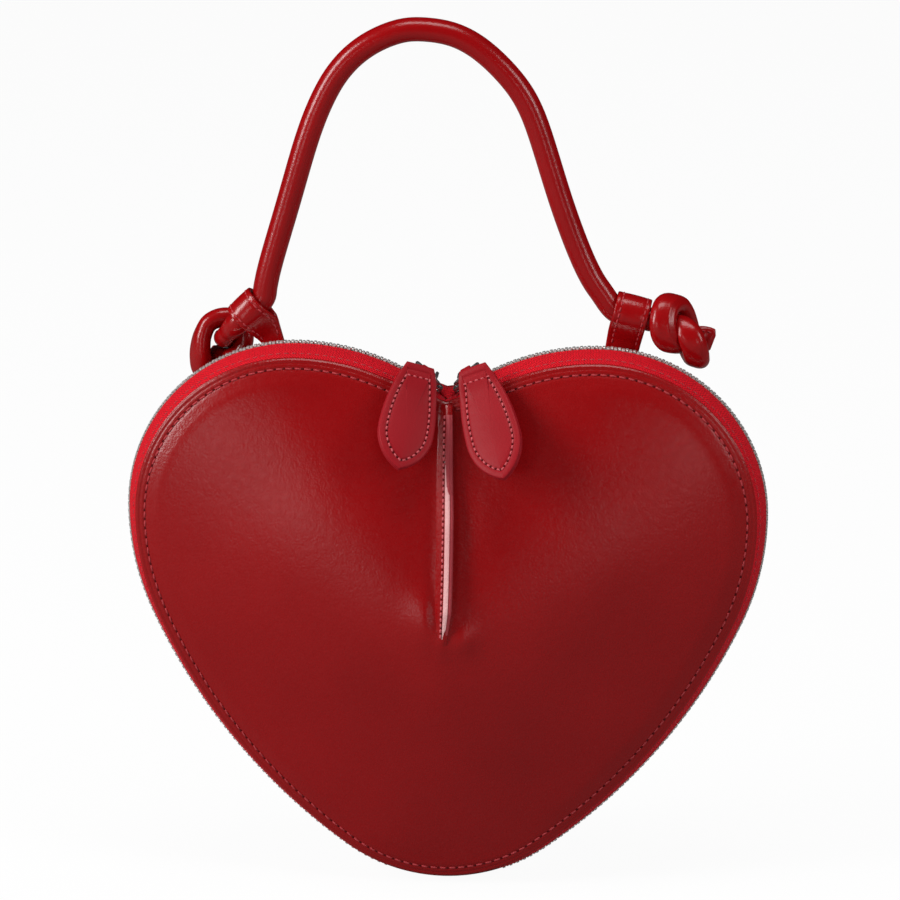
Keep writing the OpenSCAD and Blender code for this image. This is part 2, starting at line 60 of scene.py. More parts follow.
FILL = 2.3  # how far the panels' notch stands above the zip's
DROP = 100.0  # rise from the tops of the lobes to the underside of the handle
BACK = 7.0  # distance of the handle behind the teeth

# leather and zip
PANEL_T = 1.4  # panel leather
DART_H = 4.6  # rise of the dart's fin over the panel
TAPE_T = 0.9  # zip tape
CROWN = 0.9  # outward crown of the tape
EDGE_Y = 1.6  # edge of the tape, from the middle of the zip
FLANGE = 0.93  # where the tape's sewing flange ends, as a share of the way out from the apex
PITCH = 2.5  # from one tooth to the next on the same tape
TOOTH_W = 1.05
TOOTH_H = 2.0
BASE_LEN = 38.0  # leather strip at the tip, along the zip line
SEWN = 0.05  # gap between pieces sewn to each other
MOVE_GAP = 0.35  # gap between pieces that move against each other


def rad(a):
    return a * math.pi / 180


LOBE_X = HALF_W - LOBE_R
NOTCH_R = LOBE_X / math.sin(rad(NOTCH_SLOPE))
# radius and turn of each arc of the zip line, from the notch outwards; the last one closes it
ARCS = [(NOTCH_R, NOTCH_SLOPE), (LOBE_R, 90.0), (FLANK_R, FLANK_TURN), (SIDE_R, SIDE_TURN)]


def arc_to(p, heading, r, turn):
    """End of an arc that turns right from point p."""
    return (p[0] + r * (math.sin(rad(heading)) - math.sin(rad(heading - turn))),
            p[1] + r * (math.cos(rad(heading - turn)) - math.cos(rad(heading))))


def arcs_end():
    """End of the arcs, from the notch at the origin."""
    p, heading = (0.0, 0.0), NOTCH_SLOPE
    for r, turn in ARCS:
        p = arc_to(p, heading, r, turn)
        heading -= turn
    return p


OPEN_END = arcs_end()
TIP_R = OPEN_END[0] / math.sin(rad(TIP_TURN))
ARCS.append((TIP_R, TIP_TURN))
NOTCH_Z = TIP_R * (1 - math.cos(rad(TIP_TURN))) - OPEN_END[1]
LOBE_Z = NOTCH_Z + NOTCH_R * (1 - math.cos(rad(NOTCH_SLOPE)))
HALF_LEN = sum(r * rad(turn) for r, turn in ARCS)
ZIP_LEN = HALF_LEN - BASE_LEN / 2
BODY_Z = LOBE_Z + DROP


def to_frame(points):
    """Bag coordinates in mm to the frame's metres."""
    return (np.asarray(points, float) - np.array([0.0, BACK, BODY_Z])) / 1000.0


def zip_line(s):
    """Point of the zip line's right half at distance s from the notch, and its heading."""
    s = abs(s)
    p, heading = (0.0, NOTCH_Z), NOTCH_SLOPE
    for i, (r, turn) in enumerate(ARCS):
        if s <= r * rad(turn) or i == len(ARCS) - 1:
            a = s / r * 180 / math.pi
            q = arc_to(p, heading, r, a)
            return q[0], q[1], heading - a
        p = arc_to(p, heading, r, turn)
        heading -= turn
        s -= r * rad(turn)


def mirrored(s, q):
    """The left half of the outline has a negative s."""
    return np.array([-q[0], q[1]]) if s < 0 else q


def outward(heading):
    return np.array([-math.sin(rad(heading)), math.cos(rad(heading))])


def zip_point(s, d):
    """Zip line moved out by d."""
    x, z, heading = zip_line(s)
    return mirrored(s, np.array([x, z]) + d * outward(heading))


def zip_normal(s):
    return mirrored(s, outward(zip_line(s)[2]))


FILL_LEN = 0.2 * HALF_W
NOTCH_EDGE = np.array([0.0, NOTCH_Z + FILL])
NOTCH_SIDE = zip_point(FILL_LEN, -INSET) - NOTCH_EDGE
NORMAL_BLEND = 14.0  # length over which the edge's direction turns into the zip line's
APEX = np.array([0.0, APEX_Z])


def panel_edge(s):
    """Edge of a panel: inside the zip line, with a shallower notch of its own."""
    if abs(s) >= FILL_LEN:
        return zip_point(s, -INSET)
    return mirrored(s, NOTCH_EDGE + abs(s) / FILL_LEN * NOTCH_SIDE)


def edge_normal(s):
    n = unit(np.array([-NOTCH_SIDE[1], NOTCH_SIDE[0]]))
    beyond = abs(s) - FILL_LEN
    if beyond >= 0:
        w = min(1.0, beyond / NORMAL_BLEND)
        n = unit(n * (1 - w) + outward(zip_line(s)[2]) * w)
    return mirrored(s, n)


def bulge_at(share):
    """Height of a panel over its rim, by the share of the way out from the apex."""
    return BULGE * (1 - np.power(np.clip(share, 0, 1), BULGE_POWER))


def smooth(a, b, x):
    """0 at a, 1 at b, level at both."""
    t = np.clip((np.asarray(x, float) - a) / (b - a), 0, 1)
    return t * t * (3 - 2 * t)


def hump(x, width):
    """1 at x = 0, fading on both sides."""
    return np.exp(-(x / width) ** 2)


def unit(v):
    """A vector, or each row of an array, brought to length 1."""
    return v / np.linalg.norm(v, axis=-1, keepdims=True)


# mesh helpers
def new_object(name, data):
    """A new object, linked to the scene."""
    ob = bpy.data.objects.new(name, data)
    bpy.context.scene.collection.objects.link(ob)
    return ob


class Build:
    """Collects vertices and faces of one mesh."""

    def __init__(self):
        self.verts, self.faces, self.uv, self.count = [], [], [], 0

    def add(self, verts, faces, uv=None):
        verts = np.asarray(verts, float).reshape(-1, 3)
        self.verts.append(verts)
        self.faces.extend([[i + self.count for i in f] for f in faces])
        self.uv.append(np.zeros((len(verts), 2)) if uv is None else np.asarray(uv, float).reshape(-1, 2))
        self.count += len(verts)

    def grid(self, pts, close_u=False, close_v=False, flip=False, uv=None):
        """Faces between rows of points: pts[i][j] has rows i along and points j round."""
        pts = np.asarray(pts, float)
        n, m = pts.shape[:2]
        faces = []
        for i in range(n if close_u else n - 1):
            for j in range(m if close_v else m - 1):
                a, b = i * m + j, i * m + (j + 1) % m
                c, d = ((i + 1) % n) * m + (j + 1) % m, ((i + 1) % n) * m + j
                faces.append([a, d, c, b] if flip else [a, b, c, d])
        self.add(pts, faces, uv)

    def cap(self, ring, flip=False, tip=None):
        """Fan of faces from a ring to its middle, or to a tip."""
        ring = np.asarray(ring, float)
        k = len(ring)
        fan = [[(i + 1) % k, i, k] if flip else [i, (i + 1) % k, k] for i in range(k)]
        self.add(np.vstack([ring, ring.mean(0) if tip is None else tip]), fan)

    def tube(self, rows, flip=False, uv=None):
        """Rows of points closed round, with a cap on both ends."""
        self.grid(rows, close_v=True, flip=flip, uv=uv)
        self.cap(rows[0], flip=not flip)
        self.cap(rows[-1], flip=flip)

    def piece(self, name, mat, body, slot, node=None, uv=False, flat=False):
        """One object on its body, with its material, and the solid that it stands for hidden; slot is not
        used.
        """
        me = bpy.data.meshes.new(name)
        me.from_pydata(to_frame(np.vstack(self.verts)).tolist(), [], self.faces)
        me.validate()
        if uv:
            layer = me.uv_layers.new(name="UVMap")
            corners = np.zeros(len(me.loops), np.int32)
            me.loops.foreach_get("vertex_index", corners)
            layer.data.foreach_set("uv", np.vstack(self.uv).astype(np.float32)[corners].ravel())
        me.polygons.foreach_set("use_smooth", [not flat] * len(me.polygons))
        me.update()
        me.materials.append(mat)
        ob = new_object(name, me)
        if body:
            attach(ob, body)
        if node:
            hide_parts(node)
        return ob


def level(q, y):
    """Points q of the front view, at depth y."""
    return np.stack([q[:, 0], np.broadcast_to(y, len(q)), q[:, 1]], 1)


def lengths(path):
    """Distance along a path to each of its points."""
    return np.concatenate([[0], np.cumsum(np.linalg.norm(np.diff(path, axis=0), axis=1))])


def directions(path):
    return unit(np.gradient(np.asarray(path, float), axis=0))


def frames(path, start):
    """Unit directions and one side vector carried along a path without twist."""
    d = directions(path)
    u = np.asarray(start, float)
    side = []
    for k in range(len(path)):
        u = unit(u - (u @ d[k]) * d[k])
        side.append(u)
    return d, np.array(side)


def resample(path, step, closed=False):
    """Even points along a path, half a step in from its ends, and their directions."""
    path = np.asarray(path, float)
    if closed:
        path = np.vstack([path, path[:1]])
    at = lengths(path)
    n = max(1, round(at[-1] / step))
    t = (np.arange(n) + 0.5) * at[-1] / n

    def along(distance):
        return np.stack([np.interp(distance, at, path[:, k]) for k in range(path.shape[1])], 1)

    return along(t), unit(along(t + 0.2 * step) - along(t - 0.2 * step))


def sweep(path, section, place, turn=1):
    """Rings of a section (across, outwards) along a path in the plane of y and z."""
    rows = []
    for p, d in zip(path, directions(path)):
        n = turn * np.array([-d[1], d[0]])
        rows.append(place(np.array([[x, p[0] + n[0] * h, p[1] + n[1] * h] for x, h in section])))
    return rows


def tube_faces(rings, k):
    """Faces of a tube of rings with k points each, with a flat face at both ends."""
    faces = [[i * k + j, i * k + (j + 1) % k, (i + 1) * k + (j + 1) % k, (i + 1) * k + j]
             for i in range(rings - 1) for j in range(k)]
    return faces + [list(range(k - 1, -1, -1)), [(rings - 1) * k + j for j in range(k)]]


# a stitch from end to end: place along it, and thickness
STITCH_RINGS = [(-0.5, 0.28), (-0.46, 0.62), (-0.3, 0.92), (0.0, 1.0), (0.3, 0.92), (0.46, 0.62), (0.5, 0.28)]
STITCH_SIDES = 8


def stitches(build, pts, dirs, ups, length, width, height, slant=0.0):
    """A row of raised thread stitches: pts on the leather, along dirs, standing towards ups."""
    faces = tube_faces(len(STITCH_RINGS), STITCH_SIDES)
    for p, d, u in zip(pts, dirs, ups):
        u = unit(u - (u @ d) * d)
        w = np.cross(d, u)
        if slant:
            d, w = d * math.cos(slant) + w * math.sin(slant), w * math.cos(slant) - d * math.sin(slant)
        verts = []
        for t, r in STITCH_RINGS:
            sink = -0.35 * height * (2 * t) ** 4
            for j in range(STITCH_SIDES):
                a = 2 * math.pi * j / STITCH_SIDES
                across = w * r * width / 2 * math.cos(a)
                verts.append(p + d * t * length + across + u * (r * height / 2 * math.sin(a) + sink))
        build.add(verts, faces)


# materials
def set_inputs(node, values):
    for name, value in values.items():
        node.inputs[name].default_value = value


def node_material(name):
    """A new material, its nodes, its shader and its coordinates."""
    m = bpy.data.materials.new(name)
    m.use_nodes = True
    nodes = m.node_tree
    return m, nodes, nodes.nodes["Principled BSDF"], add(nodes, "TexCoord")


def link(nodes, a, b):
    nodes.links.new(a, b)


def add(nodes, kind, inputs=None, **settings):
    """A new shader node of a kind, with its settings and the values of its inputs."""
    node = nodes.nodes.new("ShaderNode" + kind)
    for name, value in settings.items():
        setattr(node, name, value)
    set_inputs(node, inputs or {})
    return node


def maths(nodes, operation, *values):
    """Result of a math node; each value is a number or another node's output."""
    node = add(nodes, "Math", operation=operation)
    for socket, value in zip(node.inputs, values):
        if isinstance(value, (int, float)):
            socket.default_value = value
        else:
            link(nodes, value, socket)
    return node.outputs["Value"]


def texture(nodes, kind, coords, inputs, output="Fac", **settings):
    """Output of a texture node in the object's own coordinates."""
    node = add(nodes, "Tex" + kind, inputs, **settings)
    link(nodes, coords.outputs["Object"], node.inputs["Vector"])
    return node.outputs[output]


def colour(nodes, shader, source, low, high, start=0.0, end=1.0):
    """Base colour from low to high along a source."""
    ramp = add(nodes, "ValToRGB")
    for element, at, tone in zip(ramp.color_ramp.elements, (start, end), (low, high)):
        element.position = at
        element.color = (*tone, 1)
    link(nodes, source, ramp.inputs["Fac"])
    link(nodes, ramp.outputs["Color"], shader.inputs["Base Color"])


def roughness(nodes, shader, source, low, high):
    """Roughness from low to high along a source."""
    node = add(nodes, "MapRange", {"To Min": low, "To Max": high})
    link(nodes, source, node.inputs["Value"])
    link(nodes, node.outputs["Result"], shader.inputs["Roughness"])


def bump(nodes, shader, source, strength, distance):
    """Relief from a source, distance in metres."""
    node = add(nodes, "Bump", {"Strength": strength, "Distance": distance})
    link(nodes, source, node.inputs["Height"])
    link(nodes, node.outputs["Normal"], shader.inputs["Normal"])


def leather(name, dark, light, rough=0.34, grain=0.16, coat=0.1, shine=0.35):
    """Smooth finished leather: fine pores, soft creasing, faint mottling in colour and gloss."""
    m, nodes, shader, coords = node_material(name)
    pore = texture(nodes, "Voronoi", coords, {"Scale": 1500}, "Distance", feature="F1")
    crease = texture(nodes, "Noise", coords, {"Scale": 420, "Detail": 5})
    cloud = texture(nodes, "Noise", coords, {"Scale": 22, "Detail": 3})
    colour(nodes, shader, cloud, dark, light, 0.3, 0.72)
    roughness(nodes, shader, crease, rough - 0.05, rough + 0.06)
    bump(nodes, shader, maths(nodes, "MULTIPLY_ADD", pore, 0.45, crease), grain, 0.0004)
    set_inputs(shader, {"Coat Weight": coat, "Coat Roughness": 0.22, "Specular IOR Level": shine})
    return m


HERRINGBONE_W = 1.3
HERRINGBONE_PERIOD = 0.95


def woven_tape(name, base, dark):
    """Herringbone of a zip tape, in millimetres along (U) and across (V); the weave's hollows are painted
    darker as shade.
    """
    m, nodes, shader, coords = node_material(name)
    split = add(nodes, "SeparateXYZ")
    link(nodes, coords.outputs["UV"], split.inputs["Vector"])
    zigzag = maths(nodes, "PINGPONG", split.outputs["Y"], HERRINGBONE_W)
    along = maths(nodes, "ADD", split.outputs["X"], zigzag)
    wave = maths(nodes, "SINE", maths(nodes, "MULTIPLY", along, 2 * math.pi / HERRINGBONE_PERIOD))
    raised = add(nodes, "MapRange", {"From Min": -1})
    link(nodes, wave, raised.inputs["Value"])
    fuzz = texture(nodes, "Noise", coords, {"Scale": 900})
    weave = maths(nodes, "MULTIPLY_ADD", fuzz, 0.35, raised.outputs["Result"])
    # painted shade: the weave's low parts take the dark colour and its raised parts the base colour
    colour(nodes, shader, weave, dark, base, 0.1)
    bump(nodes, shader, weave, 0.7, 0.00018)
    set_inputs(shader, {"Roughness": 0.72, "Specular IOR Level": 0.2})
    return m


def thread(name, base, light):
    """Twisted sewing thread; its twist is painted in light and dark bands, as highlight and shade on the
    plies.
    """
    m, nodes, shader, coords = node_material(name)
    twist = texture(nodes, "Wave", coords, {"Scale": 1400, "Distortion": 1.5},
                    wave_type="BANDS", bands_direction="DIAGONAL")
    # painted highlight and shade along the twist
    colour(nodes, shader, twist, base, light)
    bump(nodes, shader, twist, 0.5, 0.0001)
    set_inputs(shader, {"Roughness": 0.6, "Specular IOR Level": 0.12})
    return m


def metal(name, low, high, rough, metallic):
    """Plated metal with faint polishing marks and worn tone."""
    m, nodes, shader, coords = node_material(name)
    wear = texture(nodes, "Noise", coords, {"Scale": 700, "Detail": 4})
    colour(nodes, shader, wear, low, high)
    roughness(nodes, shader, wear, rough - 0.05, rough + 0.08)
    bump(nodes, shader, wear, 0.06, 0.0001)
    set_inputs(shader, {"Metallic": metallic})
    return m


def cloth(name, base, dark):
    """Plain woven lining; the gaps of the weave are painted darker as shade."""
    m, nodes, shader, coords = node_material(name)
    warp, weft = (texture(nodes, "Wave", coords, {"Scale": 520}, wave_type="BANDS", bands_direction=direction)
                  for direction in ("X", "Z"))
    weave = maths(nodes, "MULTIPLY", warp, weft)
    # painted shade: the low parts of the weave take the dark colour
    colour(nodes, shader, weave, dark, base)
    bump(nodes, shader, weave, 0.5, 0.0002)
    set_inputs(shader, {"Roughness": 0.75, "Sheen Weight": 0.3})
    return m


M_LEATHER = leather("leather_red", (0.25, 0.0016, 0.0026), (0.29, 0.0022, 0.0034),
                    rough=0.27, grain=0.22, coat=0.0)
M_STRAP = leather("leather_strap", (0.27, 0.0010, 0.0020), (0.32, 0.0016, 0.0030),
                  rough=0.23, coat=0.15, shine=0.32)
M_TAG = leather("leather_tag", (0.275, 0.0080, 0.013), (0.325, 0.0105, 0.017),
                rough=0.42, coat=0.0, shine=0.10)
# painted highlight: a near-white cut-edge colour that stands in for the gloss along the crest of the darts'
# fins
M_EDGE_HIGHLIGHT = leather("leather_cut_edge_painted_highlight", (0.64, 0.30, 0.30), (0.90, 0.55, 0.54), rough=0.5, grain=0.5, coat=0.0)
M_EDGE_RED = leather("leather_cut_edge_red", (0.34, 0.030, 0.040), (0.44, 0.055, 0.065),
                     rough=0.5, grain=0.5, coat=0.0)
M_BASE = leather("leather_base", (0.13, 0.003, 0.004), (0.16, 0.004, 0.005), rough=0.42)
M_TAPE = woven_tape("zip_tape_red", (0.80, 0.0016, 0.014), (0.20, 0.0006, 0.004))
M_THREAD = thread("thread_red", (0.30, 0.014, 0.020), (0.56, 0.080, 0.090))
# painted shade: near-black dots between stitches stand in for the shade inside the needle holes
M_HOLE_SHADE = thread("needle_hole_painted_shade", (0.075, 0.0010, 0.0022), (0.115, 0.0018, 0.0035))
# painted highlight: a lighter copy of the red thread, for the stitches on the darts' fins and the tags where
# they catch the light
M_THREAD_HIGHLIT = thread("thread_red_painted_highlight", (0.42, 0.045, 0.055), (0.72, 0.17, 0.19))
M_TEETH = metal("teeth_silver", (0.62, 0.61, 0.59), (0.82, 0.81, 0.79), 0.33, 0.7)
M_DARK = metal("hardware_dark_nickel", (0.30, 0.30, 0.31), (0.46, 0.46, 0.47), 0.22, 0.85)
M_LINING = cloth("lining_dark_red", (0.17, 0.006, 0.010), (0.09, 0.003, 0.005))


HALVES = ("front", "back")
ENDS = ("left", "right")


def both(build, words):
    """A pair of pieces, on side -1 and side 1 of the bag."""
    for side, word in zip((-1, 1), words):
        build(side, word)


# front and back panels
def rim_stations(count):
    """Signed distances along the zip line, clockwise round the whole rim from the notch."""
    half = [HALF_LEN * (2 * i / count) for i in range(count // 2 + 1)]
    return half + [-s for s in half[-2:0:-1]]


STATIONS = 560
EDGE = np.array([panel_edge(s) for s in rim_stations(STATIONS)])
NORM = np.array([edge_normal(s) for s in rim_stations(STATIONS)])
RIM_REACH = ((EDGE - APEX) * NORM).sum(1)
STITCH_D = 3.3  # stitches, from the edge of the panel
STITCH_PITCH = 3.1
# rows of points across the sewn edge, by distance from the edge of the panel
SEAM_ROWS = [0.0, 0.12, 0.3, 0.55, 0.85, 1.15, 1.35, 1.55, 1.8, 2.15, 2.5, 2.85, 3.1, 3.3, 3.5, 3.8, 4.2, 4.8,
             5.6, 6.8, 8.4]
INNER_SHARES = (1, 0.93, 0.82, 0.68, 0.52, 0.34, 0.16, 0.03)


def relief(d):
    """Pressed and sewn edge of a panel, by distance from its edge."""
    fold = -0.45 * (1 - smooth(0, 0.7, d))
    crease = -0.16 * hump(d - 1.5, 0.35)
    groove = -0.16 * hump(d - STITCH_D, 0.55)
    return fold + crease + groove + 0.12 * hump(d - 2.4, 0.6) + 0.10 * hump(d - 4.6, 0.9)


def soft_waves(x, z, side):
    """Slow hollows and swells of stiffened leather."""
    a = 0.16 * np.sin(x / 17.0 + 0.6) * np.sin(z / 23.0 + side)
    return a + 0.10 * np.sin(x / 9.5 - z / 13.0 + 2.0 * side)


def seam_rise(x, z):
    """The panel turns outwards beside the dart."""
    return smooth(APEX_Z - 7, APEX_Z + 5, z) * (0.75 * hump(x, 2.6) + 0.35 * hump(x, 7.0))


def pucker(x, z):
    """Two small swells where the dart ends."""
    left = 1.2 * hump(x + 4.6, 6.0) * hump(z - APEX_Z - 9, 9.0)
    right = 1.0 * hump(x - 7.5, 4.2) * hump(z - APEX_Z - 2.5, 5.0)
    return (left + right) * smooth(0.8, 5.6, np.abs(x))


def puffed_edge(x, d):
    """The outer lobes swell up steeply inside their seam."""
    return 1.1 * smooth(3.4, 8.5, d) * (1 - smooth(10.0, 46.0, d)) * smooth(24.0, 56.0, np.abs(x))


def panel_y(x, z, share, d, side):
    """Depth of a panel's outer face."""
    away = smooth(0, 14, d)
    y = RIM_Y + bulge_at(share) + relief(d) + away * soft_waves(x, z, side)
    y = y + smooth(2, 9, d) * seam_rise(x, z) + away * pucker(x, z) + puffed_edge(x, d)
    return side * y


def build_panel(side, half):
    """Outer face, cut edge and inner face of a panel's leather."""
    b = Build()
    last = 1 - SEAM_ROWS[-1] / RIM_REACH
    shares = [1 - d / RIM_REACH for d in SEAM_ROWS] + [last * f for f in np.linspace(1, 0, 52)[1:-1]]
    rows = []
    for share in shares:
        q = APEX + share[:, None] * (EDGE - APEX)
        rows.append(level(q, panel_y(q[:, 0], q[:, 1], share, (1 - share) * RIM_REACH, side)))
    b.grid(rows, close_v=True, flip=side > 0)
    tip_y = RIM_Y + BULGE + float(soft_waves(0, APEX_Z, side)) + float(seam_rise(0.0, APEX_Z))
    b.cap(rows[-1], flip=side > 0, tip=[0, side * tip_y, APEX_Z])
    cut_edge = [level(EDGE, side * (RIM_Y + y)) for y in (-0.45, -0.75, -1.1, -PANEL_T)]
    b.grid(cut_edge, close_v=True, flip=side < 0)
    under = [level(APEX + f * (EDGE - APEX), side * (RIM_Y + bulge_at(f) - PANEL_T)) for f in INNER_SHARES]
    b.grid(under, close_v=True, flip=side < 0)
    b.cap(under[-1], flip=side > 0)
    b.piece(half + "_panel_skin", M_LEATHER, half, "leather", half + "_panel")


both(build_panel, HALVES)


def sew_edge(side, half):
    """Stitches along the edge of a panel, with dark dots between them as painted shade in the needle holes;
    the dart's top is left free.
    """
    thread_row, hole_shade = Build(), Build()
    share = 1 - STITCH_D / RIM_REACH
    q = APEX + share[:, None] * (EDGE - APEX)
    path = level(q, panel_y(q[:, 0], q[:, 1], share, np.full(len(q), STITCH_D), side))
    pts, dirs = resample(path, STITCH_PITCH, closed=True)
    keep = ~((np.abs(pts[:, 0]) < 2.6) & (pts[:, 2] > APEX_Z))
    up = np.array([0.0, side, 0.0])
    ups = np.tile(up, (len(pts), 1))[keep]
    stitches(thread_row, pts[keep] + 0.12 * up, dirs[keep], ups, 2.2, 0.66, 0.55, 0.06)
    between = (pts + np.roll(pts, -1, 0)) / 2
    # painted shade: dark dots in the needle holes between the stitches
    stitches(hole_shade, between[keep] + 0.03 * up, dirs[keep], ups, 0.85, 0.85, 0.35)
    hole_shade.piece(half + "_edge_needle_hole_shade", M_HOLE_SHADE, half, "leather")
    thread_row.piece(half + "_edge_stitching", M_THREAD, half, "leather")


both(sew_edge, HALVES)

# darts
SHARE_X = NOTCH_SIDE[1] / ((NOTCH_EDGE[1] - APEX_Z) * NOTCH_SIDE[0])
# share of the full rise along a dart, from its end up to the notch
DART_SHARES = [0.06, 0.16, 0.34, 0.52, 0.68, 0.82, 1]
DART_TAPER = [0.25, 0.9, 1, 1, 0.8, 0.65, 0.5]
# section of the fin as turned out to the right: across, and height as a share of its rise
FIN = [(-3.4, -0.06), (-2.8, 0.0), (-2.3, 0.07), (-1.9, 0.16), (-1.5, 0.27), (-1.0, 0.38), (-0.4, 0.53),
       (0.2, 0.67), (0.8, 0.8), (1.3, 0.89), (1.75, 0.95), (2.1, 0.985), (2.4, 0.99), (2.55, 0.94),
       (2.65, 0.94), (2.9, 0.97), (3.2, 0.95), (3.5, 0.88), (3.6, 0.76), (3.4, 0.6), (2.9, 0.35),
       (2.6, 0.15), (2.7, 0.02), (3.3, -0.05)]
# corners of the section: the row of stitches, and the cut edges of the upper and the lower layer
FIN_SEAM = 7
UPPER_EDGE = slice(8, 13)
LOWER_EDGE = slice(12, 19)
# rows along the fin, from the notch down: where the painted highlight on the upper cut edge starts, and where
# the upper red edge ends
HIGHLIGHT_FROM = 26
RED_TO = 42


def centre_y(x, z):
    """Depth of the panels near their middle, without the waves."""
    share = (z - APEX_Z) / (NOTCH_EDGE[1] - APEX_Z) - abs(x) * SHARE_X
    return RIM_Y + bulge_at(np.clip(share, 0, 1)) + float(seam_rise(x, z))


def build_dart(side, half):
    """Fin of a dart, its two cut edges, the upper one with a painted highlight, its stitches, and dark dots
    as painted shade at their holes.
    """
    name = half + "_dart_fin"
    fin, highlight_edge, red_edge, thread_row, hole_shade = Build(), Build(), Build(), Build(), Build()
    rows, seam = [], []
    for z in np.linspace(NOTCH_EDGE[1] - 0.3, APEX_Z + 1.2, 110):
        share = (z - APEX_Z) / (NOTCH_EDGE[1] - APEX_Z)
        taper = float(np.interp(share, DART_SHARES, DART_TAPER)) * float(smooth(0.0, 0.07, share)) ** 0.5
        rise = DART_H * taper + 0.07 * math.sin(z / 4.0)
        wide = 0.55 + 0.45 * min(1.0, rise / 4.4)
        sway = 0.25 * math.sin(z / 15.0)
        row = [[a * wide + sway, side * (centre_y(a * wide, z) - 0.3 + rise * h), z] for a, h in FIN]
        rows.append(np.array(row))
        if APEX_Z + 3 < z < NOTCH_EDGE[1] - 3:
            seam.append(row[FIN_SEAM])
    fin.grid(rows, flip=side > 0)
    fin.cap(rows[-1], flip=side < 0)
    fin.cap(rows[0], flip=side > 0)
    fin.piece(name, M_LEATHER, half, "leather", half + "_dart")

    # painted highlight: lower down the fin, the upper cut edge gets the near-white colour for the key light's
    # gloss on its crest
    highlight_rows = []
    for i, row in enumerate(rows[HIGHLIGHT_FROM:-3]):
        grow = min(1.0, (i + 1) / 14, (len(rows) - HIGHLIGHT_FROM - 3 - i) / 6)
        corners = row[UPPER_EDGE]
        highlight_rows.append(corners[0] + (corners - corners[0]) * grow + np.array([-0.02, side * 0.04, 0]))
    highlight_edge.grid(highlight_rows, flip=side > 0)
    highlight_edge.piece(name + "_cut_edge_painted_highlight", M_EDGE_HIGHLIGHT, half, "leather")
    lift = np.array([0.02, side * 0.03, 0])
    red_edge.grid([row[UPPER_EDGE] + lift for row in rows[4:RED_TO]], flip=side > 0)
    red_edge.grid([row[LOWER_EDGE] + lift for row in rows[4:-5]], flip=side > 0)
    red_edge.piece(name + "_second_edge", M_EDGE_RED, half, "leather")

    pts, dirs = resample(seam, 2.0)
    ups = np.tile([-0.7, 0.7 * side, 0.0], (len(pts), 1))
    stitches(thread_row, pts + ups * 0.16, dirs, ups, 1.35, 0.8, 0.65)
    # painted shade: dark dots in the needle holes between the stitches
    stitches(hole_shade, (pts[1:] + pts[:-1]) / 2 + ups[1:] * 0.04, dirs[1:], ups[1:], 0.7, 0.9, 0.4)
    # painted highlight: the lighter thread copy on the fin's stitches
    thread_row.piece(name + "_stitching", M_THREAD_HIGHLIT, half, "leather")
    hole_shade.piece(name + "_needle_hole_shade", M_HOLE_SHADE, half, "leather")


both(build_dart, HALVES)

# linings
LINING_STATIONS = 160
LINING_OUT, LINING_IN = 1.6, 2.2  # the cloth's two faces, in from the panel's outer face
LINING_END = 0.001


def build_lining(side, half):
    """One cloth over the inside of a panel, with shallow drapes on its free face."""
    b = Build()
    edge = np.array([panel_edge(s) for s in rim_stations(LINING_STATIONS)])
    rows = []
    free, hidden = (LINING_IN, 0.25, FLANGE, LINING_END), (LINING_OUT, 0, LINING_END, FLANGE)
    for depth, drape_h, start, end in (free, hidden):
        for f in np.linspace(start, end, 18):
            q = APEX + f * (edge - APEX)
            drape = drape_h * np.abs(np.sin(q[:, 0] / 6.0 + q[:, 1] / 11.0)) * math.sin(math.pi * f)
            rows.append(level(q, side * (RIM_Y + bulge_at(f) - depth - drape)))
    b.grid(rows, close_v=True, close_u=True, flip=side < 0)
    ob = b.piece(half + "_lining_cloth", M_LINING, half, "lining", half + "_lining")


both(build_lining, HALVES)

# zip tapes and the strip at the tip
RIM_IN = RIM_Y - PANEL_T - SEWN
CROWN_STEPS = 14
SEAM_POINT = 4  # corner of the band's section that carries the tape's seam
OUTER_POINTS = 14  # corners of the section's outer face that the strip at the tip follows
INNER_FROM = 22  # first corner of its inner face that the strip follows


def under_rim(s, share, side, d):
    """Point d inside the inner face of a panel's rim."""
    q = APEX + share * (panel_edge(s) - APEX)
    return np.array([q[0], side * (RIM_Y + float(bulge_at(share)) - PANEL_T - d), q[1]])


def band_point(s, w, lift, y):
    """Point between the panel's edge (w = 0) and the zip line (w = 1), lifted outwards."""
    q = panel_edge(s) + w * (zip_point(s, 0) - panel_edge(s)) + lift * zip_normal(s)
    return np.array([q[0], y, q[1]])


def crown_at(w):
    """Depth and outward crown of the band, w of the way from the panel to the zip line."""
    return RIM_IN + (EDGE_Y - RIM_IN) * w ** 0.9, (CROWN + SEWN) * math.sin(math.pi * min(1, w * 0.72)) ** 0.8


def band_section(s, side):
    """Closed section of half the band: out over the crown to the teeth, and back underneath."""
    outer = [under_rim(s, FLANGE, side, SEWN)]
    for i in range(CROWN_STEPS + 1):
        w = i / CROWN_STEPS
        y, crown = crown_at(w)
        outer.append(band_point(s, w ** 1.15, -SEWN + crown * (1 - 0.55 * w ** 3), side * y))
    bead = [band_point(s, 1, 0.55 * math.sin(a), side * (EDGE_Y + 0.15 - 0.35 * math.cos(a)))
            for a in (0.9, 0.3, -0.3, -0.9)]
    inner = []
    for i in range(CROWN_STEPS, -1, -2):
        w = i / CROWN_STEPS
        y, crown = crown_at(w)
        lift = -SEWN - TAPE_T + crown * (1 - 0.2 * w ** 3) + 0.25 * w - 0.3 * (1 - w)
        hem = 0.8 if w < 0.1 else 0
        inner.append(band_point(s, w ** 1.15, lift, side * (y - hem)))
    inner.append(under_rim(s, FLANGE, side, SEWN + TAPE_T))
    return np.array(outer + bead + inner)


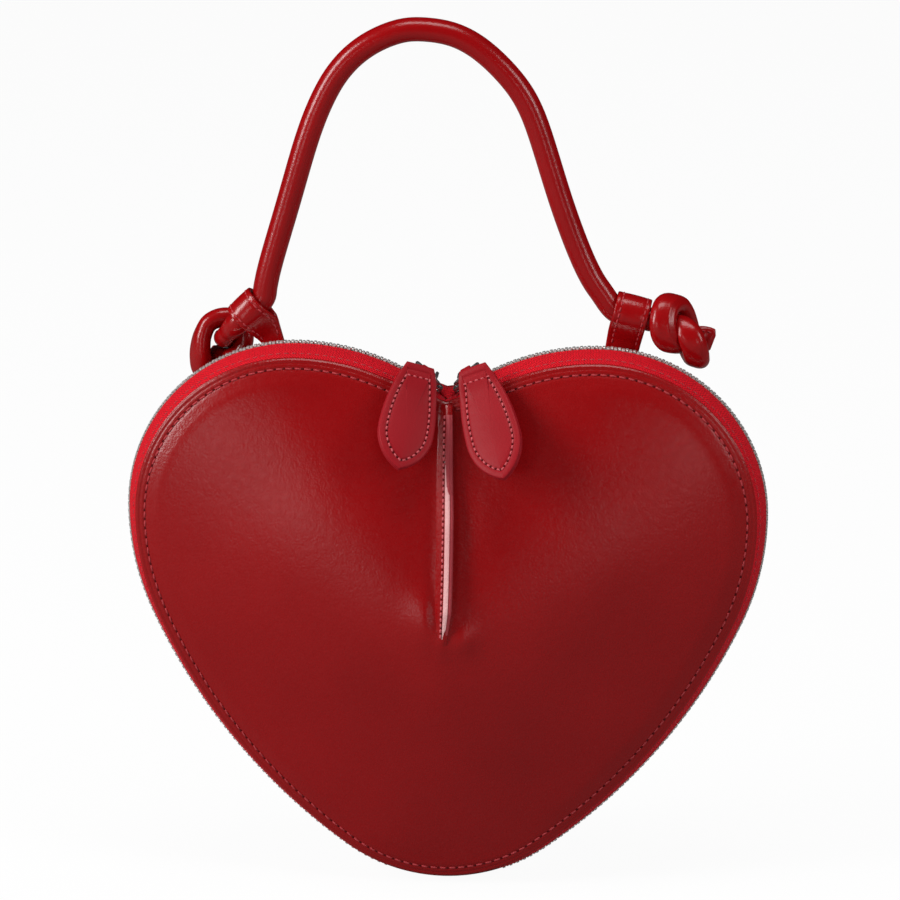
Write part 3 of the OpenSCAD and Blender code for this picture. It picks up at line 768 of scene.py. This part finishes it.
def build_tape(side, half):
    """One half of the zip tape, from end to end of the zip."""
    b = Build()
    count = 300
    at = [ZIP_LEN * (2 * i / count - 1) for i in range(count + 1)]
    rows = [band_section(s, side) for s in at]
    uv = [np.stack([np.full(len(row), s), lengths(row)], 1) for s, row in zip(at, rows)]
    b.tube(rows, flip=side > 0, uv=uv)
    b.piece(half + "_tape_woven", M_TAPE, half, "zip_tape", half + "_tape", uv=True)


both(build_tape, HALVES)


def tape_row(side, half):
    """Fine seam that holds the tape to its panel, along the tape."""
    b = Build()
    count = 400
    path = [band_section((ZIP_LEN - 1) * (2 * i / count - 1), side)[SEAM_POINT] for i in range(count + 1)]
    pts, dirs = resample(path, 2.6)
    out = pts - np.array([0.0, 0.0, APEX_Z])
    ups = np.array([0, side * 0.3, 0]) + unit(out)
    stitches(b, pts + 0.05 * ups, dirs, ups, 1.8, 0.45, 0.35)
    b.piece(half + "_tape_seam", M_THREAD, half, "zip_tape")


both(tape_row, HALVES)


def build_base():
    """Leather strip that joins the two halves round the tip."""
    b = Build()
    n = 40
    half = [ZIP_LEN + (HALF_LEN - ZIP_LEN) * i / n for i in range(n + 1)]
    rows = []
    for s in half + [-s for s in half[-2::-1]]:
        front, back = band_section(s, -1), band_section(s, 1)
        rows.append(np.vstack([front[:OUTER_POINTS], back[OUTER_POINTS - 1::-1],
                               back[:INNER_FROM - 1:-1], front[INNER_FROM:]]))
    b.tube(rows)
    ob = b.piece("base_strip_leather", M_BASE, None, "leather", "base_gusset")
    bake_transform(ob)


build_base()

# teeth
# outline of a tooth seen from outside the rim: along the zip, and depth towards the other row
TOOTH = [(-0.44, -1.52), (-0.52, -1.3), (-0.52, -0.35), (-0.4, -0.02), (-0.5, 0.4), (-0.44, 0.72),
         (-0.2, 0.9), (0.2, 0.9), (0.44, 0.72), (0.5, 0.4), (0.4, -0.02), (0.52, -0.35), (0.52, -1.3),
         (0.44, -1.52)]
TOOTH_LAYERS = [(-1.0, 0.82), (-0.84, 1.0), (0.84, 1.0), (1.0, 0.82)]  # height, and size of the outline

# sliders and rings
SLIDER_L = 8.6
SLIDER_W = 8.4
SLIDER_T = 1.0  # plates
NOSE = 3.8  # from the notch to the nose of a slider
NOSE_CLEARANCE = 2.0
PLATE_IN = TOOTH_H / 2 + MOVE_GAP
PLATE_OUT = PLATE_IN + SLIDER_T
POST_R = 0.98
RAIL = 0.5
BRIDGE_H = 2.0  # free hole under the bridge
BRIDGE_IN = 3.3
BRIDGE_T = 0.8
BRIDGE_W = 1.0
RING_R = 4.9
WIRE_R = 0.65
RING_Y = -1.1
RING_SWING = 42.0
RING_TIP = 14.0


def build_teeth(side, word):
    """One row of teeth; the rows stand half a pitch apart and leave the sliders' noses free."""
    b = Build()
    count = math.floor((ZIP_LEN - PITCH / 2) / PITCH)
    outline = np.array(TOOTH)
    middle = outline.mean(0)
    for i in range(-count, count + 1):
        s = (i + (0 if side < 0 else 0.5)) * PITCH
        if abs(s) <= NOSE + NOSE_CLEARANCE + TOOTH_W or abs(s) + TOOTH_W / 2 + 0.2 >= ZIP_LEN:
            continue
        x, z, heading = zip_line(s)
        half = -1 if s < 0 else 1
        along = np.array([half * math.cos(rad(heading)), 0, math.sin(rad(heading))])
        out = np.array([-half * math.sin(rad(heading)), 0, math.cos(rad(heading))])
        ring = []
        for h, size in TOOTH_LAYERS:
            for px, py in middle + size * (outline - middle):
                ring.append(np.array([half * x, -side * py, z]) + along * px + out * h * TOOTH_H / 2)
        faces = tube_faces(len(TOOTH_LAYERS), len(TOOTH))
        if side * half > 0:
            faces = [f[::-1] for f in faces]
        b.add(ring, faces)
    b.piece(word + "_teeth_row", M_TEETH, word, "zip_teeth", word + "_teeth", flat=True)


both(build_teeth, HALVES)

X, Y, Z = range(3)


def turned(points, axis, a):
    """Points turned about an axis by a degrees."""
    c, s = math.cos(rad(a)), math.sin(rad(a))
    v = np.array(points, float)
    i, j = (axis + 1) % 3, (axis + 2) % 3
    v[..., i], v[..., j] = v[..., i] * c - v[..., j] * s, v[..., i] * s + v[..., j] * c
    return v


def at_slider(v, side):
    """From a slider's own coordinates (along, across, outwards) to the bag's."""
    x, z, heading = zip_line(NOSE + SLIDER_L / 2)
    q = turned(v, Y, -heading) + np.array([x, 0, z])
    return q * np.array([side, 1, 1])


def at_ring(v, side):
    """From a pull ring's own coordinates to the bag's."""
    hung = turned(v - np.array([0, RING_R, 0]), X, -RING_TIP)
    return at_slider(turned(hung, Z, RING_SWING) + np.array([0, RING_Y, PLATE_OUT + MOVE_GAP + WIRE_R]), side)


def box(x0, y0, x1, y1):
    return [(x0, y0), (x1, y0), (x1, y1), (x0, y1)]


def circle(x, r, steps):
    turns = [2 * math.pi * k / steps for k in range(steps)]
    return [(x + r * math.cos(a), r * math.sin(a)) for a in turns]


def inset(poly, d):
    """Convex outline moved inwards by d."""
    poly = np.asarray(poly, float)
    out = []
    for i in range(len(poly)):
        a, b, c = poly[i - 1], poly[i], poly[(i + 1) % len(poly)]
        n1, n2 = (unit(np.array([-e[1], e[0]])) for e in (b - a, c - b))
        out.append(b + d * (n1 + n2) / max(0.3, 1 + n1 @ n2))
    return np.array(out)


def rounded(poly, r, steps=5):
    """Corners of a convex outline turned into arcs."""
    poly = np.asarray(poly, float)
    out = []
    for i in range(len(poly)):
        a, b, c = poly[i - 1], poly[i], poly[(i + 1) % len(poly)]
        u, w = unit(a - b), unit(c - b)
        cut = min(r, 0.45 * np.linalg.norm(a - b), 0.45 * np.linalg.norm(c - b))
        for k in range(steps + 1):
            t = k / steps
            out.append((1 - t) ** 2 * (b + u * cut) + 2 * t * (1 - t) * b + t * t * (b + w * cut))
    return np.array(out)


def prism(b, poly, z0, z1, bevel, place, flip):
    """Plate with rounded edges; poly runs anticlockwise."""
    small = 0.3 * bevel
    rows = []
    heights = (z0, z0 + small, z0 + bevel, z1 - bevel, z1 - small, z1)
    for z, d in zip(heights, (bevel, small, 0, 0, small, bevel)):
        q = inset(poly, d)
        rows.append(place(np.column_stack([q, np.full(len(q), z)])))
    b.grid(rows, close_v=True, flip=not flip)
    corners = list(range(len(poly)))
    b.add(rows[0], [corners[::1 if flip else -1]])
    b.add(rows[-1], [corners[::-1 if flip else 1]])


def build_slider(side, end):
    """Two plates with rails, the post between them, a bridge and a raised rib."""
    b = Build()
    flip = side < 0

    def place(v):
        return at_slider(v, side)

    l, w = SLIDER_L / 2, SLIDER_W / 2
    shoulder = -l * 0.2
    plate = rounded([(-l, -w * 0.5), (shoulder, -w), (l, -w), (l, w), (shoulder, w), (-l, w * 0.5)], 1.6)
    prism(b, plate, PLATE_IN, PLATE_OUT, 0.3, place, flip)
    prism(b, plate, -PLATE_OUT, -PLATE_IN, 0.3, place, flip)
    prism(b, circle(-l + 1.0, POST_R, 16), -PLATE_IN - 0.2, PLATE_IN + 0.2, 0.02, place, flip)
    for y in (-w, w - RAIL):
        rail = rounded(box(shoulder, y, l - 0.3, y + RAIL), 0.3, 2)
        prism(b, rail, PLATE_IN - 0.15, PLATE_IN + RAIL, 0.12, place, flip)
        prism(b, rail, -PLATE_IN - RAIL, -PLATE_IN + 0.15, 0.12, place, flip)
    mid = BRIDGE_IN + BRIDGE_T / 2
    foot, top = PLATE_OUT - 0.4, PLATE_OUT + BRIDGE_H + BRIDGE_T / 2
    arch = rounded([(-mid, foot), (-mid, top), (mid, top), (mid, foot)], 1.5, 8)[9:27]
    path = np.vstack([[(-mid, foot)], arch, [(mid, foot)]])
    section = rounded(box(-BRIDGE_W / 2, -BRIDGE_T / 2, BRIDGE_W / 2, BRIDGE_T / 2), 0.28, 3)
    b.grid(sweep(path, section, place), close_v=True, flip=flip)
    rib = rounded([(-l + 0.6, -0.7), (-0.8, -1.0), (-0.8, 1.0), (-l + 0.6, 0.7)], 0.6, 4)
    prism(b, rib, PLATE_OUT - 0.1, PLATE_OUT + 0.22, 0.12, place, flip)
    node = "slider_" + end
    b.piece(node + "_cast", M_DARK, node, "hardware", node)


both(build_slider, ENDS)


def build_ring(side, end):
    b = Build()
    rows = []
    for a in [2 * math.pi * i / 72 for i in range(72)]:
        wire = [(r * math.cos(a), r * math.sin(a), h) for r, h in circle(RING_R, WIRE_R, 16)]
        rows.append(at_ring(wire, side))
    b.grid(rows, close_u=True, close_v=True, flip=side > 0)
    node = "ring_" + end
    b.piece(node + "_wire", M_DARK, node, "hardware", node)


both(build_ring, ENDS)

# leaf tags
TAG_L = 37.0  # below the fold
TAG_W = 18.8  # at the widest
TAG_TOP = 9.4  # width at the top
TAG_T = 2.4  # two layers sewn together
TAG_LEAN = 40.0
FOLD_TURN = 18.0
FOLD_SLOPE = 31.0
LEAF_TOP = 2.2  # from the fold down to the leaf
UPPER = (TAG_L - LEAF_TOP) * 0.6  # the leaf above its widest place
LOWER = (TAG_L - LEAF_TOP) * 0.4
FRONT_TOP = UPPER + 2.2
TAG_STITCH_D = 2.5
# outer face of a leaf: distance from its edge, and height; the groove holds the stitches
LEAF_FACE = [(0.0, -0.4), (0.1, -0.15), (0.35, 0.0), (0.9, 0.05), (1.6, 0.1), (2.05, 0.04), (2.3, -0.12),
             (2.5, -0.18), (2.7, -0.12), (3.0, 0.05), (3.6, 0.16)]

fold_angle = rad(FOLD_TURN - RING_SWING)
FOLD_AT = at_ring(np.array([RING_R * math.sin(fold_angle), -RING_R * math.cos(fold_angle), 0.0]), 1)


def at_fold(v, side):
    """From a tag's own coordinates, hanging from its fold, to the bag's."""
    q = turned(turned(v, X, -TAG_LEAN), Y, -FOLD_SLOPE) + FOLD_AT
    return q * np.array([side, 1, 1])


def half_width(z):
    """Half the width of the leaf at height z, 0 at its widest place."""
    top, reach = (TAG_TOP, FRONT_TOP) if z > 0 else (0.0, LOWER)
    drop = (TAG_W - top) / 2
    r = (drop * drop + reach * reach) / (2 * drop)
    return max(0.0, TAG_W / 2 - r + math.sqrt(max(0.0, r * r - z * z)))


def leaf_outline(top, n=64):
    """Closed outline, anticlockwise from the tip, up to a straight top edge."""
    heights = -LOWER + (LOWER + top) * (0.5 - 0.5 * np.cos(np.pi * np.arange(1, n) / (n - 1)))
    right = [(half_width(z), z) for z in heights]
    w = right[-1][0]
    tops = [(w * (1 - 2 * k / 12), top) for k in range(1, 12)]
    return np.array([(0.0, -LOWER)] + right + tops + [(-x, z) for x, z in right[::-1]])


def edge_reach(outline, centre):
    """Distance from the centre to the nearer of the two edges that meet at each corner."""
    e = np.roll(outline, -1, 0) - outline
    n = np.stack([e[:, 1], -e[:, 0]], 1) / (np.linalg.norm(e, axis=1)[:, None] + 1e-9)
    reach = ((outline - centre) * n).sum(1)
    return np.maximum(np.minimum(reach, np.roll(reach, 1)), 1.5)


def build_tag(side, end, skew, out_x, longer):
    """Leaf of two layers, folded over the ring; skew turns it, out_x moves it outwards."""
    node = "tag_" + end
    name = node + "_leaf"
    tag, thread_row, hole_shade = Build(), Build(), Build()
    centre = np.array([0.0, -1.0])

    def leaf(top, y_in, y_out):
        """One layer: y_in is its face towards the other layer."""
        outline = rounded(leaf_outline(top), 0.7, 2)
        reach = edge_reach(outline, centre)
        out = -1 if y_out < y_in else 1
        flip = (side < 0) ^ (out > 0)

        def place(q, y):
            v = turned(np.column_stack([q[:, 0], np.zeros(len(q)), q[:, 1] - UPPER]), Y, skew)
            v[:, 0] += out_x
            v[:, 2] = v[:, 2] * longer - LEAF_TOP - 6 * (longer - 1)
            lift = 1.85 * smooth(-10.0, -1.0, v[:, 2]) * (out < 0)
            v[:, 1] = y - lift + (0.5 * (q[:, 0] / 10.0) ** 2 + 0.35 * smooth(6.0, 14.0, -q[:, 1]))
            return at_fold(v, side)

        def ring(share, y):
            return place(centre + share[:, None] * (outline - centre), y)

        steps = [(0.25, y_in), (0.0, y_in + out * 0.2)] + [(d, y_out + out * h) for d, h in LEAF_FACE]
        rows = [ring(1 - d / reach, y) for d, y in steps]
        last_d, last_h = LEAF_FACE[-1]
        for f in np.linspace(1, 0.02, 10)[1:]:
            rows.append(ring((1 - last_d / reach) * f, y_out + out * (last_h + 0.2 * (1 - f * f))))
        tag.tube(rows, flip=flip)

        line = centre + (1 - TAG_STITCH_D / reach)[:, None] * (outline - centre)
        line[:, 1] = np.minimum(line[:, 1], top - 4.4)
        pts, dirs = resample(place(line, y_out + out * 0.02), 2.0, closed=True)
        up = np.subtract(*at_fold([[0.0, out, 0.0], [0.0, 0.0, 0.0]], side))
        ups = np.tile(up, (len(pts), 1))
        stitches(thread_row, pts, dirs, ups, 1.35, 0.62, 0.6, 0.12)
        # painted shade: dark dots in the needle holes between the stitches
        stitches(hole_shade, (pts + np.roll(pts, -1, 0)) / 2 - 0.03 * up, dirs, ups, 0.6, 0.95, 0.45)

    leaf(FRONT_TOP, -0.05, -TAG_T / 2)
    leaf(UPPER, 0.05, TAG_T / 2)
    turns = [rad(205 - 215 * k / 20) for k in range(21)]
    fold = [(math.cos(a) * 1.45, math.sin(a) * 1.45) for a in turns]
    neck = [(-1.5, -3.4)] + fold + [(1.25, -2.0), (0.95, -3.6), (0.75, -5.4)]
    section = rounded(box(-1.75, -0.36, 1.75, 0.36), 0.25, 3)
    tag.grid(sweep(neck, section, lambda v: at_fold(v, side)), close_v=True, flip=side < 0)
    tag.piece(name, M_TAG, node, "tag_leather", node)
    # painted highlight: the lighter thread copy on the tag's stitches
    thread_row.piece(name + "_stitching", M_THREAD_HIGHLIT, node, "tag_leather")
    hole_shade.piece(name + "_needle_hole_shade", M_HOLE_SHADE, node, "tag_leather")


build_tag(-1, "left", 16.8, 2.0, 1.0)
build_tag(1, "right", 9.0, 2.4, 1.13)

# loops
STRAP_R = 4.0
KNOT_R = 3.0
LOOP_W = 10.0
LOOP_T = 1.6
LOOP_IN = STRAP_R + MOVE_GAP
LOOP_OUT = LOOP_IN + LOOP_T
FOOT_R = 1.3
FOOT_DROP = 8.6  # from the middle of a loop down to its foot
LEFT_LEAN = 45.0
RIGHT_LEAN = 14.0
# half the face of a loop's band: distance from its side, and height as a share of half its thickness
BAND_FACE = [(0, 0), (0, 0.6), (0.15, 0.92), (0.5, 1), (1.05, 1.04), (1.45, 0.84), (1.9, 1.04), (2.8, 1.12)]
BAND_STITCH_D = 1.45


def loop_at(x, z, lean):
    """Middle of a loop with its foot at x, z."""
    return np.array([x + FOOT_DROP * math.sin(rad(lean)), BACK, z + FOOT_DROP * math.cos(rad(lean))])


LEFT_LOOP = loop_at(-60.4, LOBE_Z + 3.1, -LEFT_LEAN)
RIGHT_LOOP = loop_at(58.8, LOBE_Z + 2.0, RIGHT_LEAN)


def loop_path(widen):
    """Middle line of a loop's leather: up one leg, round the strap and down the other."""
    splay = math.asin((LOOP_OUT - FOOT_R) / FOOT_DROP)
    r = (LOOP_OUT + LOOP_IN) / 2
    tall = 1 + 0.35 * (widen - 1)
    ring = [(math.cos(a) * r, math.sin(a) * r * (tall if 0 < a < math.pi else 1))
            for a in np.linspace(-splay, math.pi + splay, 41)]
    foot, start = np.array([0.62, -FOOT_DROP]), np.array(ring[0])
    leg = [tuple(foot * (1 - t) + start * t) for t in (0.0, 0.12, 0.3, 0.5, 0.7, 0.88)]
    half = [(0.5, -FOOT_DROP - 3.0), (0.55, -FOOT_DROP - 1.2)] + leg
    return np.array(half + ring + [(-y, z) for y, z in half[::-1]])


def build_loop(at, lean, end, widen):
    """Stitched band of a loop; widen broadens it towards the arch."""
    node = "loop_" + end
    band, thread_row = Build(), Build()
    w, t = LOOP_W / 2, LOOP_T / 2
    left = [(x - w, h * t) for x, h in BAND_FACE]
    right = [(-x, h) for x, h in left[::-1]]
    back = [(w, -t * 0.6), (w - 0.4, -t), (0, -t), (0.4 - w, -t), (-w, -t * 0.6)]

    def broad(x):
        return x * (widen if x * lean < 0 else 1)

    def place(v):
        """The end of the legs runs on down to the tape, further under the lifted corner."""
        v = np.array(v, float)
        low = np.clip((-FOOT_DROP + 1.0 - v[:, 2]) / 4.0, 0, 1)
        more = np.clip(0.5 - v[:, 0] / LOOP_W * math.copysign(1, lean), 0, 1)
        fall = low * (LOOP_W * abs(math.sin(rad(lean))) * more)
        v[:, 0] += fall * math.sin(rad(lean))
        v[:, 2] -= fall * math.cos(rad(lean))
        return turned(v, Y, lean) + at

    path = loop_path(widen)
    section = [(broad(x), h) for x, h in left + [(0, t * 1.18)] + right + back]
    band.tube(sweep(path, section, place, -1), flip=True)
    band.piece(node + "_band", M_STRAP, "handle", "leather", node)
    for x in (BAND_STITCH_D - w, w - BAND_STITCH_D):
        line = [row[0] for row in sweep(path, [(broad(x), t * 0.95)], place, -1)[1:-1]]
        pts, dirs = resample(line, 2.2)
        stitches(thread_row, pts, dirs, pts - at, 1.6, 0.62, 0.5)
    thread_row.piece(node + "_band_stitching", M_THREAD, "handle", "leather")


build_loop(LEFT_LOOP, -LEFT_LEAN, "left", 1.0)
build_loop(RIGHT_LOOP, RIGHT_LEAN, "right", 1.32)

# handle
# half an overhand knot along x, from its middle out, in units of KNOT_UNIT
KNOT = [(0, 0, 1.1), (0.32, 0.47, 1.04), (0.72, 0.93, 0.8), (1.05, 1.1, 0.3), (1.2, 1, -0.25),
        (1.1, 0.55, -0.75), (0.8, 0, -0.93), (0.38, -0.4, -0.8), (-0.05, -0.54, -0.4), (-0.5, -0.3, 0),
        (-1, -0.04, 0.15), (-1.7, 0, 0.13)]
KNOT_UNIT = 6.6
KNOT_LOCAL = KNOT[::-1] + [(-x, -y, z) for x, y, z in KNOT[1:]]
# the arch: shares of the way from loop to loop, and of the rise over the lobes
ARCH = [(0.041, 0.182), (0.055, 0.264), (0.103, 0.472), (0.148, 0.68), (0.19, 0.818), (0.237, 0.92),
        (0.304, 0.998), (0.385, 1.045), (0.446, 1.052), (0.522, 1.04), (0.592, 0.996), (0.662, 0.915),
        (0.72, 0.818), (0.761, 0.68), (0.811, 0.472), (0.874, 0.264), (0.916, 0.18)]
LEFT_KNOT = np.array([-LOBE_X - 27.6, 20.0, LOBE_Z - 6.6])
RIGHT_KNOT = np.array([LOBE_X + 27.0, BACK, LOBE_Z + 5.0])
LEFT_ROLL = 280
RIGHT_ROLL = 285
LEFT_DIR = np.array([-math.cos(rad(LEFT_LEAN)), 0, -math.sin(rad(LEFT_LEAN))])
RIGHT_DIR = np.array([math.cos(rad(RIGHT_LEAN)), 0, -math.sin(rad(RIGHT_LEAN))])
RUN = 0.6 * LOOP_W
KNOT_STRAP_R = KNOT_R + 0.22
STRAP_SIDES = 36
END_STITCHES = 46  # points of the strap's path, from either end, that carry the end's seams


def knot_points(at, direction, roll):
    """The knot's points round a place, along a direction and rolled about it."""
    x = unit(direction)
    y0 = unit(np.cross([0, 0, 1], x))
    z0 = np.cross(x, y0)
    c, s = math.cos(rad(roll)), math.sin(rad(roll))
    y, z = y0 * c + z0 * s, z0 * c - y0 * s
    return [at + (x * p[0] + y * p[1] + z * p[2]) * KNOT_UNIT for p in KNOT_LOCAL]


def arch_point(x, z):
    return np.array([LEFT_LOOP[0] + x * (RIGHT_LOOP[0] - LEFT_LOOP[0]), BACK, LOBE_Z + z * DROP])


left_knot = knot_points(LEFT_KNOT, LEFT_KNOT - LEFT_LOOP - LEFT_DIR * RUN, LEFT_ROLL)
right_knot = knot_points(RIGHT_KNOT, RIGHT_KNOT - RIGHT_LOOP - RIGHT_DIR * RUN, RIGHT_ROLL)
# points of the strap's middle line and its radius there, from end to end
TURNING = ([(p, KNOT_STRAP_R) for p in left_knot[::-1]]
           + [(LEFT_LOOP + LEFT_DIR * RUN * k, STRAP_R) for k in (1, 0, -1)]
           + [(arch_point(x, z), STRAP_R) for x, z in ARCH]
           + [(RIGHT_LOOP + RIGHT_DIR * RUN * k, STRAP_R) for k in (-1, 0, 1)]
           + [(p, KNOT_STRAP_R) for p in right_knot])


def strap_path(steps):
    """Curve through the turning points, softened along the free arch, and its radii."""
    n = len(TURNING)
    path, radii = [], []
    for i in range(n - 1):
        a, b, c, d = (TURNING[max(0, min(n - 1, k))][0] for k in (i - 1, i, i + 1, i + 2))
        for k in range(steps):
            t = k / steps
            curve = (c - a) * t + (2 * a - 5 * b + 4 * c - d) * t * t + (3 * b - a - 3 * c + d) * t ** 3
            path.append(0.5 * (2 * b + curve))
            radii.append(TURNING[i][1] + (TURNING[i + 1][1] - TURNING[i][1]) * t)
    path.append(TURNING[-1][0])
    radii.append(TURNING[-1][1])
    path = np.array(path)
    free = smooth(LOBE_Z + 13, LOBE_Z + 24, path[:, 2])[:, None]
    soft = path.copy()
    for _ in range(30):
        soft[1:-1] = (soft[:-2] + 2 * soft[1:-1] + soft[2:]) / 4
    return path + free * (soft - path), np.array(radii)


def build_strap():
    """The rolled strap with its two knots, and the seams on its flat ends."""
    strap, thread_row = Build(), Build()
    path, radii = strap_path(10)
    d, u = frames(path, [0, 1, 0])
    v = np.cross(d, u)
    at = lengths(path)
    ends = np.minimum(at, at[-1] - at)
    flat = 1 - smooth(2.0, 9.0, ends)
    wide, thin = 1 + 0.42 * flat, 1 - 0.5 * flat
    tips = np.where(ends < 1.2, 0.55 + 0.45 * smooth(-0.2, 1.2, ends), 1.0)
    rows = []
    for i, p in enumerate(path):
        centre, knot = (LEFT_KNOT, left_knot) if p[0] < 0 else (RIGHT_KNOT, right_knot)
        axis = unit(knot[1] - knot[0])
        away = p - centre
        away = away - (away @ axis) * axis
        away = away - (away @ d[i]) * d[i]
        tight = float(smooth(2.6, 6.0, np.linalg.norm(away)))
        tight = tight * float(smooth(18.0, 13.0, np.linalg.norm(p - centre))) * (1 - flat[i])
        away = away / (np.linalg.norm(away) + 1e-9)
        across = np.cross(d[i], away)
        row = []
        for a in [2 * math.pi * j / STRAP_SIDES for j in range(STRAP_SIDES)]:
            seam = abs(((a - 1.5 * math.pi + math.pi) % (2 * math.pi)) - math.pi)
            n = math.cos(a) * u[i] + math.sin(a) * v[i]
            r = radii[i] * (1 - 0.075 * hump(seam, 0.10) + 0.02 * hump(seam - 0.28, 0.12))
            r = r * (1 + tight * (0.40 * (n @ across) ** 2 - 0.06 * (n @ away) ** 2))
            row.append(p + r * tips[i] * (wide[i] * math.cos(a) * u[i] + thin[i] * math.sin(a) * v[i]))
        rows.append(row)
    strap.tube(rows, flip=True)
    strap.piece("handle_strap_rolled", M_STRAP, "handle", "leather", "handle_strap")

    seam_turn = 0.8
    for which in (range(4, END_STITCHES), range(len(path) - END_STITCHES, len(path) - 4)):
        pressed = [i for i in which if flat[i] >= 0.3]
        n = len(pressed)
        for across in (-1, 1):
            for up in (-1, 1):
                line = [path[i] + radii[i] * (across * wide[i] * math.cos(seam_turn) * u[i]
                                              + up * thin[i] * math.sin(seam_turn) * v[i]) for i in pressed]
                pts, dirs = resample(line, 2.2)
                ups = up * v[[pressed[min(n - 1, round(k * n / len(pts)))] for k in range(len(pts))]]
                stitches(thread_row, pts + 0.05 * ups, dirs, ups, 1.6, 0.5, 0.4)
    thread_row.piece("handle_end_stitching", M_THREAD, "handle", "leather")


build_strap()


# floor, light, camera
def ray_value(nodes, camera, glossy, other):
    """A strength that differs for what the camera sees, what shines back and what lights."""
    rays = add(nodes, "LightPath")
    unseen = maths(nodes, "MULTIPLY_ADD", rays.outputs["Is Glossy Ray"], glossy - other, other)
    mix = add(nodes, "Mix", {"B": camera})
    link(nodes, rays.outputs["Is Camera Ray"], mix.inputs["Factor"])
    link(nodes, unseen, mix.inputs["A"])
    return mix.outputs["Result"]


def stage_material():
    """White floor that shines by itself for the camera and is grey for the leather's reflections."""
    m, nodes, shader, _ = node_material("floor_white")
    set_inputs(shader, {"Roughness": 0.9, "Specular IOR Level": 0.1})
    tone = add(nodes, "CombineColor")
    for channel in ("Red", "Green", "Blue"):
        link(nodes, ray_value(nodes, 0.9, 0.20, 0.45), tone.inputs[channel])
    link(nodes, tone.outputs["Color"], shader.inputs["Base Color"])
    glow = add(nodes, "Emission", {"Color": (1, 1, 1, 1), "Strength": 1.0})
    mix = add(nodes, "MixShader")
    link(nodes, ray_value(nodes, 0.95, 0.0, 0.0), mix.inputs[0])
    link(nodes, shader.outputs[0], mix.inputs[1])
    link(nodes, glow.outputs[0], mix.inputs[2])
    link(nodes, mix.outputs[0], nodes.nodes["Material Output"].inputs["Surface"])
    return m


FLOOR_HALF = 6.0
floor_z = float(to_frame([0, 0, -0.1])[2])
floor_mesh = bpy.data.meshes.new("floor")
floor_mesh.from_pydata([(x, y, floor_z) for x, y in box(-FLOOR_HALF, -FLOOR_HALF, FLOOR_HALF, FLOOR_HALF)],
                       [], [(0, 1, 2, 3)])
floor_mesh.materials.append(stage_material())
new_object("floor", floor_mesh)

world = bpy.data.worlds.new("studio")
bpy.context.scene.world = world
world.use_nodes = True
background = world.node_tree.nodes["Background"]
background.inputs["Color"].default_value = (1, 1, 1, 1)
link(world.node_tree, ray_value(world.node_tree, 1.0, 0.01, 0.17), background.inputs["Strength"])


def lamp(name, at, to, size, size_y, power):
    """Soft rectangular lamp at a place, aimed at a point."""
    light = bpy.data.lights.new(name, "AREA")
    light.shape = "RECTANGLE"
    light.size = size
    light.size_y = size_y
    light.energy = power
    ob = new_object(name, light)
    ob.location = at
    ob.rotation_euler = (Vector(to) - Vector(at)).to_track_quat("-Z", "Y").to_euler()


lamp("key_left", (-1.45, -0.70, 0.55), (0, 0, -0.14), 0.5, 1.1, 26)
lamp("key_right", (1.45, -0.70, 0.60), (0, 0, -0.14), 0.4, 0.9, 9)
lamp("top_soft", (0.0, -0.35, 1.35), (0, 0, -0.16), 1.0, 0.5, 10)
lamp("front_left", (-0.68, -1.45, -0.06), (0, 0, -0.14), 0.30, 0.36, 1.3)
lamp("front_right", (0.60, -1.48, -0.06), (0, 0, -0.14), 0.24, 0.36, 0.8)

AZIMUTH = 3.5
ELEVATION = 14.7
ROLL = 0.35
DISTANCE = 1.93
VIEW_W = 0.2997  # width of the view at the bag
SENSOR_W = 36
aim = np.array([0.0008, -0.007, -0.1355])
level_out = math.cos(rad(ELEVATION))
back = np.array([math.sin(rad(AZIMUTH)) * level_out, -math.cos(rad(AZIMUTH)) * level_out,
                 math.sin(rad(ELEVATION))])
lens = bpy.data.cameras.new("camera")
lens.sensor_width = SENSOR_W
lens.lens = SENSOR_W * DISTANCE / VIEW_W
lens.clip_start = 0.05
lens.clip_end = 50
camera = new_object("camera", lens)
camera.location = Vector(aim + back * DISTANCE)
facing = (-Vector(back)).to_track_quat("-Z", "Y")
camera.rotation_euler = (facing @ Quaternion((0, 0, 1), rad(ROLL))).to_euler()
bpy.context.scene.camera = camera
bpy.context.scene.view_settings.view_transform = "Standard"
